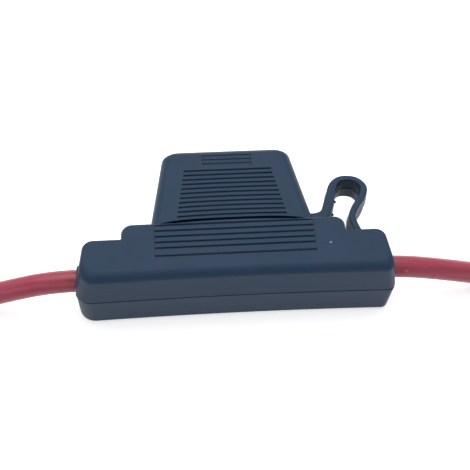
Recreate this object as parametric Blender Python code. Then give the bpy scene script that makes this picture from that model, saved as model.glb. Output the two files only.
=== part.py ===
"""Waterproof in-line holder for one large blade fuse.

Two moulded half shells meet on the middle plane and trap two flag terminals, the ends of
two heavy leads and the foot of the cap's tether. The cap is a tall hollow moulding that
pulls off along +Y and uncovers the fuse. The holder lies on its back: +X along the leads,
+Y the way the cap pulls off, +Z out of the ribbed front face.
"""

import math

import bmesh
import bpy
from mathutils import Matrix, Vector

MM = 0.001

# Clearances between neighbouring pieces
GAP = 0.3 * MM
FUSE_CLEARANCE = 0.4 * MM

# The fuse, a standard large blade fuse
FUSE_WIDTH = 29.2 * MM
FUSE_DEPTH = 8.9 * MM
FUSE_BODY_HEIGHT = 21.0 * MM
FUSE_WALL = 1.7 * MM
FUSE_FLOOR = 2.0 * MM
FUSE_CORNER = 1.4 * MM
BLADE_GAP = 5.8 * MM
BLADE_MARGIN = 3.7 * MM
BLADE_THICKNESS = 0.8 * MM
BLADE_LENGTH = 13.3 * MM
BLADE_TIP = 1.0 * MM
FUSE_HEAD = 7.6 * MM
FUSE_END_WALL = 2.4 * MM
LINK_HEIGHT = 1.6 * MM
LINK_RISE = 12.6 * MM
LINK_REACH = 0.9

# The leads
LEAD_DIAMETER = 6.0 * MM
CONDUCTOR_DIAMETER = 3.7 * MM
STRIPPED_END = 7.0 * MM
STRAND_LOBES = 7
STRAND_RELIEF = 0.07
STRAND_TWIST = math.radians(50.0)

# Heights and walls of the body: what lies under the leads and the blades, and over the leads
BASE_ARCH = 0.65 * MM
LEAD_FLOOR = 3.2 * MM
BLADE_FLOOR = 4.4 * MM
SHOULDER_ROOF = 1.9 * MM
COLLAR_HEIGHT = 6.4 * MM
SHELL_WALL = 2.2 * MM
LEDGE_WALL = 1.5 * MM
END_WALL = 4.3 * MM

# Collar, seal and cap
COLLAR_END_WALL = 3.0 * MM
COLLAR_SIDE_WALL = 1.3 * MM
COLLAR_CORNER = 3.0 * MM
SEAL_GROOVE = 0.5 * MM
SEAL_RISE = 2.9 * MM
SEAL_HEIGHT = 2.2 * MM
SEAL_WIDTH_AT_ENDS = 1.56 * MM
SEAL_WIDTH_AT_SIDES = 1.05 * MM
SEAL_LIP = 0.25 * MM
CAP_WALL = 1.7 * MM
CAP_TOP_WALL = 2.0 * MM
CAP_HEADROOM = 3.45 * MM
CAP_END_TAPER = 0.175
CAP_FACE_TAPER = 0.072
CAP_CORNER = 2.8 * MM
CAP_TOP_ROUND_UP = 3.0 * MM
CAP_TOP_ROUND_ENDS = 3.8 * MM
CAP_TOP_ROUND_FACES = 2.4 * MM
RIM_ARCH = 1.6 * MM
RIM_FOOT = 1.4 * MM
RIM_SQUARENESS = 4

# Outline of the body around the cap
CAP_SETBACK = 2.1 * MM
LEDGE_MARGIN = 8.1 * MM
SHOULDER_MARGIN = 11.3 * MM
END_SPLAY = 2.0 * MM
OUTLINE_CORNER = 2.7 * MM
BASE_CORNER = 4.2 * MM
INNER_CORNER = 0.8 * MM

# How far each half's walls draw in towards its face, front first, and how its edges are rounded
FRONT_DRAFT = {"base": 0.35 * MM, "end": 1.5 * MM, "riser": 0.25 * MM, "top": 0.0}
REAR_DRAFT = {"base": 0.2 * MM, "end": 0.5 * MM, "riser": 0.25 * MM, "top": 0.0}
FRONT_ROUNDING = {"base": 2.8 * MM, "end": 1.1 * MM, "riser": 0.9 * MM, "top": 0.9 * MM}
REAR_ROUNDING = {"base": 1.5 * MM, "end": 1.3 * MM, "riser": 0.9 * MM, "top": 0.9 * MM}
FRONT_EDGE_DEPTH = 2.2 * MM
REAR_EDGE_DEPTH = 1.4 * MM

# Grip pad and grooves on the faces
PAD_RISE = 0.25 * MM
PAD_INSET = 0.9 * MM
PAD_CROWN_DROP = 0.2 * MM
PAD_CROWN_BOW = 0.95 * MM
PAD_LIP = 1.2 * MM
GROOVE_WIDTH = 0.45 * MM
GROOVE_DEPTH = 0.45 * MM
PAD_GROOVES = 5
PAD_GROOVE_PITCH = 1.76 * MM
PAD_GROOVE_DROP = 1.3 * MM
PAD_LAST_DROP = 2.4 * MM
PAD_GROOVE_MARGIN = 0.45 * MM
CAP_GROOVE_PITCH = 1.56 * MM
CAP_GROOVE_RISE = 2.5 * MM
CAP_GROOVE_MARGIN = 6.9 * MM
CROWN_GROOVES = 3
CROWN_GROOVE_PITCH = 1.45 * MM
CROWN_GROOVE_DROP = 5.75 * MM
CROWN_GROOVE_GAP = 2.2 * MM
CROWN_GROOVE_HALF = 7.0 * MM

# Terminals, springs and grommets
SHEET = 0.8 * MM
CONTACT_CLEARANCE = 0.35 * MM
RECEPTACLE_BELOW_TIP = 0.5 * MM
RECEPTACLE_SLIT = 1.2 * MM
SPRING_SHEET = 0.4 * MM
SPRING_DROP = 0.6 * MM
SPRING_SLIT = 2.4 * MM
CRIMP_SHEET = 0.75 * MM
CRIMP_LENGTH = 8.0 * MM
CRIMP_SPLIT = math.radians(26.0)
GRIP_SHEET = 0.5 * MM
GRIP_LENGTH = 4.0 * MM
GRIP_SPLIT = math.radians(70.0)
WEB_LENGTH = 2.3 * MM
WEB_WIDTH = 4.4 * MM
STRIP_MARGIN = 1.2 * MM
GROMMET_WALL = 0.8 * MM
GROMMET_FLANGE = 1.7 * MM
GROMMET_FLANGE_LENGTH = 1.2 * MM
GROMMET_RECESS = 0.35 * MM
RIB = 1.2 * MM
THIN_RIB = 1.0 * MM
POCKET_CORNER = 0.5 * MM
PEG_RADIUS = 1.2 * MM
BASE_PEG_RADIUS = 0.75 * MM
PEG_LENGTH = 3.2 * MM
BASE_PEG_LENGTH = 2.4 * MM
PEG_INSET = 3.5 * MM
PEG_POST = 7.3 * MM

# The tether strap: its centre line from the tab's root to its foot, across and up, and its
# thickness along the way
STRAP_WIDTH = 8.4 * MM
STRAP_CHAMFER = 0.4 * MM
STRAP_FOOT_DEPTH = 1.6 * MM
STRAP_SLOT_INSET = 6.2 * MM
TAB_RISE = 3.7 * MM
TAB_ROOT = 0.9 * MM
STRAP_ROUTE = [
    (0.0, 0.0, 2.1),
    (3.1, 0.0, 2.1),
    (5.5, 1.3, 2.1),
    (7.1, 6.4, 2.0),
    (8.3, 10.4, 1.9),
    (10.3, 12.6, 1.4),
    (13.0, 13.15, 1.1),
    (15.8, 12.2, 1.4),
    (17.3, 9.6, 1.8),
    (16.4, 6.5, 1.9),
    (14.0, 3.1, 1.95),
    (12.6, 0.2, 1.95),
    (12.95, -2.6, 2.0),
    (13.85, -5.8, 2.1),
    (14.2, -8.1, 2.0),
    (14.2, -9.9, 2.0),
]

# How far the stretch beyond each exit runs outward, up and towards the front, for the free leads
RIGHT_ROUTE = [
    (2.0, 0.0, 0.0),
    (7.0, 0.0, -0.45),
    (12.0, 0.0, -1.7),
    (17.0, 0.0, -3.75),
    (22.0, 0.0, -6.0),
    (27.0, 0.0, -7.6),
    (32.5, 0.0, -8.4),
    (44.0, 1.2, -8.4),
    (56.0, 5.4, -8.4),
    (67.0, 11.2, -8.4),
    (78.0, 16.8, -8.4),
    (90.0, 20.2, -8.4),
    (105.0, 21.2, -8.4),
]
LEFT_ROUTE = [
    (2.0, 0.0, 0.0),
    (7.0, 0.0, -0.45),
    (12.0, 0.0, -1.7),
    (17.0, 0.0, -3.75),
    (22.0, 0.0, -6.0),
    (27.0, 0.0, -7.6),
    (32.5, 0.0, -8.4),
    (46.0, 0.9, -8.4),
    (59.0, 4.6, -8.4),
    (70.0, 10.4, -8.4),
    (80.0, 17.2, -8.4),
    (91.0, 22.6, -8.4),
    (104.0, 25.0, -8.4),
]

# Fineness of the round shapes
CORNER_STEPS = 4
EDGE_STEPS = 4
RING_STEPS = 28
STRAP_STEPS = 3
CUT_PAST = 1.0 * MM
FILLET_LIMIT = 0.48

# Sizes that follow from those above
LEAD_RADIUS = LEAD_DIAMETER / 2
CONDUCTOR_RADIUS = CONDUCTOR_DIAMETER / 2
CRIMP_INNER = CONDUCTOR_RADIUS + GAP
CRIMP_OUTER = CRIMP_INNER + CRIMP_SHEET
GRIP_INNER = LEAD_RADIUS + GAP
GRIP_OUTER = GRIP_INNER + GRIP_SHEET
CHANNEL_LOW = LEAD_FLOOR
LEAD_AXIS_HEIGHT = CHANNEL_LOW + GAP + GRIP_OUTER
CHANNEL_HIGH = LEAD_AXIS_HEIGHT + GRIP_OUTER + GAP
SHOULDER_HEIGHT = CHANNEL_HIGH + SHOULDER_ROOF
LEDGE_HEIGHT = BLADE_FLOOR + BLADE_LENGTH
BLADE_WIDTH = (FUSE_WIDTH - BLADE_GAP) / 2 - BLADE_MARGIN
BLADE_CENTRE = (BLADE_GAP + BLADE_WIDTH) / 2
WELL_FLOOR = LEDGE_HEIGHT - GAP
FUSE_SEAT = WELL_FLOOR + GAP
FUSE_TOP = FUSE_SEAT + FUSE_BODY_HEIGHT
BLADE_BOTTOM = FUSE_SEAT - BLADE_LENGTH
WELL_HALF = FUSE_WIDTH / 2 + FUSE_CLEARANCE
WELL_HALF_DEPTH = FUSE_DEPTH / 2 + FUSE_CLEARANCE
COLLAR_HALF = WELL_HALF + COLLAR_END_WALL
COLLAR_HALF_DEPTH = WELL_HALF_DEPTH + COLLAR_SIDE_WALL
SEAL_TOP = LEDGE_HEIGHT + SEAL_RISE + SEAL_HEIGHT
SEAL_HALF = COLLAR_HALF - SEAL_GROOVE + GAP + SEAL_WIDTH_AT_ENDS
SEAL_HALF_DEPTH = COLLAR_HALF_DEPTH - SEAL_GROOVE + GAP + SEAL_WIDTH_AT_SIDES
CAP_FOOT = LEDGE_HEIGHT + GAP
CAP_HALF = SEAL_HALF + GAP + CAP_WALL + CAP_END_TAPER * (SEAL_TOP - CAP_FOOT)
CAP_HALF_DEPTH = SEAL_HALF_DEPTH + GAP + CAP_WALL + CAP_FACE_TAPER * (SEAL_TOP - CAP_FOOT)
CAP_TOP = FUSE_TOP + CAP_HEADROOM + CAP_TOP_WALL
HALF_THICKNESS = CAP_HALF_DEPTH + CAP_SETBACK
MIDDLE = HALF_THICKNESS
FACE_DEPTH = HALF_THICKNESS - PAD_RISE
LEDGE_HALF = CAP_HALF + LEDGE_MARGIN
SHOULDER_HALF = LEDGE_HALF + SHOULDER_MARGIN
BASE_HALF = SHOULDER_HALF + END_SPLAY
PAD_HALF = CAP_HALF - PAD_INSET
END_SLOPE = END_SPLAY / SHOULDER_HEIGHT
EXIT_X = BASE_HALF - END_SLOPE * LEAD_AXIS_HEIGHT
END_WALL_INNER = EXIT_X - END_WALL
RECEPTACLE_HALF = BLADE_WIDTH / 2 + CONTACT_CLEARANCE
RECEPTACLE_HALF_DEPTH = BLADE_THICKNESS / 2 + CONTACT_CLEARANCE
RECEPTACLE_BOTTOM = BLADE_BOTTOM - RECEPTACLE_BELOW_TIP
RECEPTACLE_TOP = LEDGE_HEIGHT - LEDGE_WALL - GAP
SPRING_INNER_HALF = RECEPTACLE_HALF + SHEET + GAP
SPRING_INNER_HALF_DEPTH = RECEPTACLE_HALF_DEPTH + SHEET + GAP
SPRING_HALF = SPRING_INNER_HALF + SPRING_SHEET
SPRING_HALF_DEPTH = SPRING_INNER_HALF_DEPTH + SPRING_SHEET
TERMINAL_POCKET_IN = BLADE_CENTRE - SPRING_HALF - GAP
TERMINAL_POCKET_OUT = BLADE_CENTRE + SPRING_HALF + GAP
CRIMP_START = TERMINAL_POCKET_OUT + THIN_RIB + GAP
CRIMP_END = CRIMP_START + CRIMP_LENGTH
GRIP_START = CRIMP_END + WEB_LENGTH
GRIP_END = GRIP_START + GRIP_LENGTH
LEAD_START = GRIP_START - 2 * GAP
SADDLE_RADIUS = LEAD_RADIUS + GAP
GROMMET_RADIUS = LEAD_RADIUS + GAP + GROMMET_WALL
STRAP_SLOT_X = SHOULDER_HALF - STRAP_SLOT_INSET
POCKET_DEPTH = FACE_DEPTH - SHELL_WALL


# Curves and outlines


def along(start, end, share):
    """The point at this share of the way between two numbers."""
    return start + (end - start) * share


def catmull(points, steps):
    """A smooth line through the points, as tuples, with this many steps between neighbours."""
    ends = [points[0], *points, points[-1]]
    line = []
    for index in range(len(points) - 1):
        window = [Vector(p) for p in ends[index:index + 4]]
        before, first, second, after = window
        for step in range(steps):
            t = step / steps
            line.append(
                0.5 * (
                    2 * first
                    + (second - before) * t
                    + (2 * before - 5 * first + 4 * second - after) * t ** 2
                    + (3 * first - before - 3 * second + after) * t ** 3
                )
            )
    line.append(Vector(points[-1]))
    return line


def evenly(line, spacing):
    """Points of a line at about this spacing, both ends kept."""
    lengths = [0.0]
    for first, second in zip(line, line[1:]):
        lengths.append(lengths[-1] + (second - first).length)
    count = max(2, round(lengths[-1] / spacing))
    picked = []
    index = 0
    for number in range(count + 1):
        wanted = lengths[-1] * number / count
        while index < len(lengths) - 2 and lengths[index + 1] < wanted:
            index += 1
        span = lengths[index + 1] - lengths[index]
        picked.append(line[index].lerp(line[index + 1], (wanted - lengths[index]) / span))
    return picked


def inward(corners, offsets):
    """A counter-clockwise polygon with edge i, from corner i to the next, moved in by offsets[i]."""
    moved = []
    for index, corner in enumerate(corners):
        here = Vector(corner)
        before = here - Vector(corners[index - 1])
        after = Vector(corners[(index + 1) % len(corners)]) - here
        before.normalize()
        after.normalize()
        turn = before.x * after.y - before.y * after.x
        inset_before = offsets[index - 1]
        inset_after = offsets[index]
        if abs(turn) < 0.02:
            moved.append(here + Vector((-after.y, after.x)) * inset_after)
        else:
            moved.append(here + (after * inset_before - before * inset_after) / turn)
    return moved


def rounded(corners, radii, steps=CORNER_STEPS):
    """The polygon with each corner turned into an arc, or left sharp where its radius is zero.

    A fillet takes less than half of the shorter wall beside it.
    """
    outline = []
    for index, corner in enumerate(corners):
        here = Vector(corner)
        radius = radii[index]
        if not radius:
            outline.append(here)
            continue
        back = Vector(corners[index - 1]) - here
        ahead = Vector(corners[(index + 1) % len(corners)]) - here
        shorter = min(back.length, ahead.length)
        back.normalize()
        ahead.normalize()
        half = math.acos(max(-1.0, min(1.0, back.dot(ahead)))) / 2
        radius = min(radius, FILLET_LIMIT * shorter * math.tan(half))
        centre = here + (back + ahead).normalized() * (radius / math.sin(half))
        first = here + back * (radius / math.tan(half)) - centre
        last = here + ahead * (radius / math.tan(half)) - centre
        sweep = math.atan2(first.x * last.y - first.y * last.x, first.dot(last))
        for step in range(steps + 1):
            outline.append(centre + Matrix.Rotation(sweep * step / steps, 2) @ first)
    return outline


def rectangle(half_width, half_depth, radius, steps=CORNER_STEPS):
    """A rounded rectangle about the origin."""
    corners = [
        (-half_width, -half_depth),
        (half_width, -half_depth),
        (half_width, half_depth),
        (-half_width, half_depth),
    ]
    return rounded(corners, [radius] * 4, steps)


# Solids


def loft(bm, rings, closed=False):
    """A solid through rings of equal length. It has a face at each end, or closes on itself."""
    loops = [[bm.verts.new(point) for point in ring] for ring in rings]
    pairs = list(zip(loops, loops[1:]))
    if closed:
        pairs.append((loops[-1], loops[0]))
    for lower, upper in pairs:
        for index in range(len(lower)):
            follower = (index + 1) % len(lower)
            bm.faces.new((lower[index], lower[follower], upper[follower], upper[index]))
    if not closed:
        bm.faces.new(loops[0])
        bm.faces.new(loops[-1])


def prism_x(bm, outline, start, end):
    """An outline in (Y, Z) carried from start to end along X."""
    loft(bm, [[(x, a, b) for a, b in outline] for x in (start, end)])


def prism_y(bm, outline, start, end):
    """An outline in (X, Z) carried from start to end along Y."""
    loft(bm, [[(a, y, b) for a, b in outline] for y in (start, end)])


def prism_z(bm, outline, start, end):
    """An outline in (X, Y) carried from start to end along Z."""
    loft(bm, [[(a, b, z) for a, b in outline] for z in (start, end)])


def block(bm, x, y, z):
    """A box between two values on each axis."""
    low_x, high_x = sorted(x)
    low_y, high_y = sorted(y)
    prism_z(bm, [(low_x, low_y), (high_x, low_y), (high_x, high_y), (low_x, high_y)], *sorted(z))


def turned_x(bm, profile, centre_y, centre_z, steps=RING_STEPS):
    """A closed profile of (x, radius) turned about an axis along X."""
    rings = []
    for x, radius in profile:
        ring = []
        for step in range(steps):
            angle = 2 * math.pi * step / steps
            ring.append((x, centre_y + radius * math.cos(angle), centre_z + radius * math.sin(angle)))
        rings.append(ring)
    loft(bm, rings, closed=True)


def rod_z(bm, radius, centre, start, end, steps=16):
    """A round bar along Z."""
    circle = []
    for step in range(steps):
        angle = 2 * math.pi * step / steps
        circle.append((centre[0] + radius * math.cos(angle), centre[1] + radius * math.sin(angle)))
    prism_z(bm, circle, start, end)


def split_ring(inner, outer, opening, facing, steps=20):
    """The outline of a rolled strip: a ring with an opening, an angle, that faces this way."""
    start = facing + opening / 2
    sweep = 2 * math.pi - opening
    angles = [start + sweep * step / steps for step in range(steps + 1)]
    outside = [(outer * math.cos(a), outer * math.sin(a)) for a in angles]
    inside = [(inner * math.cos(a), inner * math.sin(a)) for a in reversed(angles)]
    return outside + inside


def folded_channel(half_width, half_depth, sheet, slit):
    """The outline of a strip folded round a flat space, with a slit in the middle of one face."""
    outer_width = half_width + sheet
    outer_depth = half_depth + sheet
    inside = [
        (-slit / 2, half_depth),
        (-half_width, half_depth),
        (-half_width, -half_depth),
        (half_width, -half_depth),
        (half_width, half_depth),
        (slit / 2, half_depth),
    ]
    outside = rounded(
        [
            (slit / 2, outer_depth),
            (outer_width, outer_depth),
            (outer_width, -outer_depth),
            (-outer_width, -outer_depth),
            (-outer_width, outer_depth),
            (-slit / 2, outer_depth),
        ],
        [0, sheet, sheet, sheet, sheet, 0],
        2,
    )
    return [Vector(corner) for corner in inside] + outside


# Objects


def material(name, colour, roughness, metallic=0.0, alpha=1.0):
    made = bpy.data.materials.new(name)
    made.use_nodes = True
    shader = made.node_tree.nodes["Principled BSDF"]
    shader.inputs["Base Color"].default_value = (*colour, 1.0)
    shader.inputs["Roughness"].default_value = roughness
    shader.inputs["Metallic"].default_value = metallic
    shader.inputs["Alpha"].default_value = alpha
    return made


def solid(name, bm, parent, finish=None, smooth=True):
    """A mesh object from what the bmesh holds, moved into its parent's own frame."""
    bmesh.ops.remove_doubles(bm, verts=bm.verts, dist=0.0001 * MM)
    bmesh.ops.recalc_face_normals(bm, faces=bm.faces)
    origin = Vector(parent["origin"])
    bmesh.ops.translate(bm, verts=bm.verts, vec=-origin)
    mesh = bpy.data.meshes.new(name)
    bm.to_mesh(mesh)
    bm.free()
    if smooth:
        mesh.shade_smooth()
        mesh.set_sharp_from_angle(angle=math.radians(32))
    made = bpy.data.objects.new(name, mesh)
    bpy.context.collection.objects.link(made)
    made.parent = parent
    if finish:
        mesh.materials.append(finish)
    return made


def combine(target, operand, operation):
    """Joins the operand to the target, or cuts it out, and keeps it as a hidden guide."""
    step = target.modifiers.new(operand.name, "BOOLEAN")
    step.object = operand
    step.operation = operation
    step.solver = "EXACT"
    operand.hide_render = True
    operand.display_type = "WIRE"


def anchor(name, origin, parent=None):
    """An empty at a point of the holder's frame. Pieces are drawn in that frame."""
    made = bpy.data.objects.new(name, None)
    bpy.context.collection.objects.link(made)
    made["origin"] = origin
    if parent:
        made.parent = parent
        made.location = Vector(origin) - Vector(parent["origin"])
    return made


# The half shells


def body_outline(side, draft, rounding):
    """A half's outline, drawn in by these shares of its walls' draft and of its edges' rounding."""
    full_draft = FRONT_DRAFT if side > 0 else REAR_DRAFT
    full_rounding = FRONT_ROUNDING if side > 0 else REAR_ROUNDING
    base_steps = 6
    shares = [2 * step / base_steps - 1 for step in range(base_steps)]
    base = [(BASE_HALF * share, BASE_ARCH * (1 - share * share)) for share in shares]
    corners = base + [
        (BASE_HALF, 0.0),
        (SHOULDER_HALF, SHOULDER_HEIGHT),
        (LEDGE_HALF, SHOULDER_HEIGHT),
        (LEDGE_HALF, LEDGE_HEIGHT),
        (-LEDGE_HALF, LEDGE_HEIGHT),
        (-LEDGE_HALF, SHOULDER_HEIGHT),
        (-SHOULDER_HALF, SHOULDER_HEIGHT),
    ]
    edges = ["base"] * base_steps + ["end", "top", "riser", "top", "riser", "top", "end"]
    radii = [BASE_CORNER] + [0] * (base_steps - 1) + [
        BASE_CORNER,
        OUTLINE_CORNER,
        INNER_CORNER,
        OUTLINE_CORNER,
        OUTLINE_CORNER,
        INNER_CORNER,
        OUTLINE_CORNER,
    ]
    offsets = [draft * full_draft[edge] + rounding * full_rounding[edge] for edge in edges]
    return rounded(inward(corners, offsets), radii)


def shell_blank(name, side, parent, finish):
    """The outside of one half: a drafted wall from the seam, rounded into the flat face."""
    bm = bmesh.new()
    edge_depth = FRONT_EDGE_DEPTH if side > 0 else REAR_EDGE_DEPTH
    wall_end = FACE_DEPTH - edge_depth
    levels = [(GAP / 2, 0.0, 0.0), (wall_end, 1.0, 0.0)]
    for step in range(1, EDGE_STEPS + 1):
        angle = math.pi / 2 * step / EDGE_STEPS
        levels.append((wall_end + edge_depth * math.sin(angle), 1.0, 1 - math.cos(angle)))
    rings = []
    for depth, draft, rounding in levels:
        outline = body_outline(side, draft, rounding)
        rings.append([(x, y, MIDDLE + side * depth) for x, y in outline])
    loft(bm, rings)
    return solid(name, bm, parent, finish)


def collar_half(side, parent):
    """Half of the collar that stands round the fuse, with half of the seal's groove."""
    bm = bmesh.new()
    low = LEDGE_HEIGHT - LEDGE_WALL / 2
    top = LEDGE_HEIGHT + COLLAR_HEIGHT
    groove_low = LEDGE_HEIGHT + SEAL_RISE - GAP
    groove_high = SEAL_TOP + GAP
    levels = [
        (low, 0.0),
        (groove_low, 0.0),
        (groove_low, SEAL_GROOVE),
        (groove_high, SEAL_GROOVE),
        (groove_high, 0.0),
        (top - SEAL_GROOVE, 0.0),
        (top, SEAL_GROOVE),
    ]
    rings = []
    for y, inset in levels:
        outline = rectangle(COLLAR_HALF - inset, COLLAR_HALF_DEPTH - inset, COLLAR_CORNER - inset)
        rings.append([(x, y, MIDDLE + z) for x, z in outline])
    loft(bm, rings)
    whole = solid(f"collar_form_{side}", bm, parent)
    other_half = bmesh.new()
    beyond = 2 * COLLAR_HALF
    block(other_half, (-beyond, beyond), (0, 2 * top), (MIDDLE + side * GAP / 2, MIDDLE - side * beyond))
    combine(whole, solid(f"collar_cut_{side}", other_half, parent), "DIFFERENCE")
    return whole


def pad_groove_levels():
    """Heights of the pad's grooves, the last one set lower."""
    levels = [LEDGE_HEIGHT - PAD_GROOVE_DROP - PAD_GROOVE_PITCH * row for row in range(PAD_GROOVES)]
    return levels + [levels[-1] - PAD_LAST_DROP]


def face_pad(side, parent):
    """The raised grip pad, from its lowest groove up to a bowed edge in front of the cap's rim."""
    bm = bmesh.new()
    steps = 10
    crown = []
    for step in range(steps + 1):
        share = 1 - 2 * step / steps
        drop = PAD_CROWN_DROP + PAD_CROWN_BOW * share * share
        crown.append((PAD_HALF * share, LEDGE_HEIGHT - drop))
    foot = pad_groove_levels()[-1]
    outline = [(-PAD_HALF, foot), (PAD_HALF, foot)] + crown
    prism_z(bm, outline, MIDDLE + side * (HALF_THICKNESS - PAD_LIP), MIDDLE + side * HALF_THICKNESS)
    return solid(f"pad_form_{side}", bm, parent)


def pad_grooves(side, parent):
    """Grip grooves across the pad. The lowest also cuts its foot off from the face below."""
    bm = bmesh.new()
    half = PAD_HALF - PAD_GROOVE_MARGIN
    depths = [MIDDLE + side * (HALF_THICKNESS + past) for past in (-GROOVE_DEPTH, CUT_PAST)]
    levels = pad_groove_levels()
    for y in levels[:-1]:
        block(bm, (-half, half), (y - GROOVE_WIDTH / 2, y + GROOVE_WIDTH / 2), depths)
    foot = levels[-1]
    past = PAD_HALF + CUT_PAST
    block(bm, (-past, past), (foot - GROOVE_WIDTH / 2, foot + GROOVE_WIDTH / 2), depths)
    return solid(f"pad_grooves_{side}", bm, parent)


def pocket(bm, x, y, depth, side):
    """A rounded pocket from past the seam to this depth."""
    centre_x, centre_y = sum(x) / 2, sum(y) / 2
    outline = rectangle(abs(x[1] - x[0]) / 2, abs(y[1] - y[0]) / 2, POCKET_CORNER, 2)
    shifted = [(centre_x + a, centre_y + b) for a, b in outline]
    prism_z(bm, shifted, MIDDLE - side * CUT_PAST, MIDDLE + side * depth)


def shell_pockets(side, parent):
    """The rooms inside a half: terminals, crimps, leads and the hollow shoulders beside the well."""
    cradle = along(CRIMP_START, CRIMP_END, 0.5)
    rib_in = GRIP_END + GAP + POCKET_CORNER
    rib_out = along(rib_in, END_WALL_INNER, 0.5)
    rooms = [
        (CRIMP_START - GAP, cradle - THIN_RIB / 2),
        (cradle + THIN_RIB / 2, rib_in),
        (rib_in + RIB, rib_out),
        (rib_out + RIB, END_WALL_INNER - GROMMET_FLANGE_LENGTH),
    ]
    ceiling = LEDGE_HEIGHT - LEDGE_WALL
    bm = bmesh.new()
    for hand in (-1, 1):
        out = TERMINAL_POCKET_OUT
        terminal_room = (hand * TERMINAL_POCKET_IN, hand * out)
        pocket(bm, terminal_room, (RECEPTACLE_BOTTOM - GAP, ceiling), SPRING_HALF_DEPTH + GAP, side)
        for start, end in rooms:
            pocket(bm, (hand * start, hand * end), (CHANNEL_LOW, CHANNEL_HIGH), POCKET_DEPTH, side)
        shoulder = (hand * (out + THIN_RIB), hand * (LEDGE_HALF - PEG_POST))
        pocket(bm, shoulder, (CHANNEL_HIGH + RIB, ceiling), POCKET_DEPTH, side)
    return solid(f"pockets_{side}", bm, parent)


def terminal_cores(side, parent):
    """Slots that core out the thick wall behind each terminal and leave four ribs to carry it."""
    bm = bmesh.new()
    ceiling = LEDGE_HEIGHT - LEDGE_WALL
    slots = 4
    pitch = (TERMINAL_POCKET_OUT - TERMINAL_POCKET_IN) / slots
    for hand in (-1, 1):
        for number in range(slots):
            start = TERMINAL_POCKET_IN + pitch * number + THIN_RIB / 2
            ends = (hand * start, hand * (start + pitch - THIN_RIB))
            pocket(bm, ends, (RECEPTACLE_BOTTOM + THIN_RIB, ceiling - THIN_RIB), POCKET_DEPTH, side)
    return solid(f"terminal_cores_{side}", bm, parent)


def fuse_well(side, parent):
    """The well that the fuse body drops into, inside the collar."""
    bm = bmesh.new()
    outline = rectangle(WELL_HALF, WELL_HALF_DEPTH, FUSE_CORNER)
    shifted = [(x, MIDDLE + z) for x, z in outline]
    prism_y(bm, shifted, WELL_FLOOR, LEDGE_HEIGHT + 2 * COLLAR_HEIGHT)
    return solid(f"fuse_well_{side}", bm, parent)


def blade_slots(side, parent):
    """Slots through the ledge for the two blades."""
    bm = bmesh.new()
    half_width = BLADE_WIDTH / 2 + GAP
    half_depth = BLADE_THICKNESS / 2 + GAP
    for hand in (-1, 1):
        centre = hand * BLADE_CENTRE
        block(
            bm,
            (centre - half_width, centre + half_width),
            (LEDGE_HEIGHT - 2 * LEDGE_WALL, LEDGE_HEIGHT + LEDGE_WALL),
            (MIDDLE - half_depth, MIDDLE + half_depth),
        )
    return solid(f"blade_slots_{side}", bm, parent)


def lead_bores(side, parent):
    """The round ways of the leads through the ribs, and the grommets' seats in the end walls."""
    bm = bmesh.new()
    flange_start = END_WALL_INNER - GROMMET_FLANGE_LENGTH - GAP
    web_way = math.hypot(WEB_WIDTH / 2, CRIMP_OUTER) + GAP
    for hand in (-1, 1):
        flange = GROMMET_RADIUS + GROMMET_FLANGE + GAP
        neck = GROMMET_RADIUS + GAP
        stations = [
            (TERMINAL_POCKET_OUT - THIN_RIB, web_way),
            (CRIMP_START, web_way),
            (CRIMP_START, CRIMP_OUTER + GAP),
            (CRIMP_END, CRIMP_OUTER + GAP),
            (CRIMP_END, SADDLE_RADIUS),
            (flange_start, SADDLE_RADIUS),
            (flange_start, flange),
            (END_WALL_INNER, flange),
            (END_WALL_INNER, neck),
            (BASE_HALF + END_WALL, neck),
        ]
        rings = []
        for x, radius in stations:
            ring = []
            for step in range(RING_STEPS):
                angle = 2 * math.pi * (step + 0.5) / RING_STEPS
                ring.append(
                    (
                        hand * x,
                        LEAD_AXIS_HEIGHT + radius * math.cos(angle),
                        MIDDLE + radius * math.sin(angle),
                    )
                )
            rings.append(ring)
        loft(bm, rings)
    return solid(f"lead_bores_{side}", bm, parent)


def strap_slot(side, parent):
    """The open-topped slot in the right shoulder that holds the tether's foot."""
    bm = bmesh.new()
    half = STRAP_ROUTE[-1][2] * MM / 2 + GAP
    half_width = STRAP_WIDTH / 2 + GAP
    floor = SHOULDER_HEIGHT - STRAP_FOOT_DEPTH - GAP
    block(
        bm,
        (STRAP_SLOT_X - half, STRAP_SLOT_X + half),
        (floor, SHOULDER_HEIGHT + STRAP_FOOT_DEPTH),
        (MIDDLE - half_width, MIDDLE + half_width),
    )
    return solid(f"strap_slot_{side}", bm, parent)


def peg_places():
    """Centres, radii and lengths of the moulded pegs that line the halves up."""
    upper_x = LEDGE_HALF - PEG_INSET
    upper_y = along(CHANNEL_HIGH, LEDGE_HEIGHT, 0.5)
    places = [((hand * upper_x, upper_y), PEG_RADIUS, PEG_LENGTH) for hand in (-1, 1)]
    base_y = along(BASE_ARCH, RECEPTACLE_BOTTOM - GAP, 0.5)
    places.append(((0.0, base_y), BASE_PEG_RADIUS, BASE_PEG_LENGTH))
    return places


def half_shell(name, side, parent, finish):
    """One half of the body, front at side 1 and rear at side -1."""
    shell = shell_blank(name, side, parent, finish)
    combine(shell, collar_half(side, parent), "UNION")
    combine(shell, face_pad(side, parent), "UNION")
    if side > 0:
        bm = bmesh.new()
        for centre, radius, length in peg_places():
            rod_z(bm, radius, centre, MIDDLE + RIB, MIDDLE - length)
        combine(shell, solid("peg_forms", bm, parent), "UNION")
    for form in (shell_pockets, terminal_cores, fuse_well, blade_slots, lead_bores, strap_slot, pad_grooves):
        combine(shell, form(side, parent), "DIFFERENCE")
    if side < 0:
        bm = bmesh.new()
        for centre, radius, length in peg_places():
            rod_z(bm, radius + GAP, centre, MIDDLE + RIB, MIDDLE - length - GAP)
        combine(shell, solid("peg_sockets", bm, parent), "DIFFERENCE")
    return shell


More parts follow.
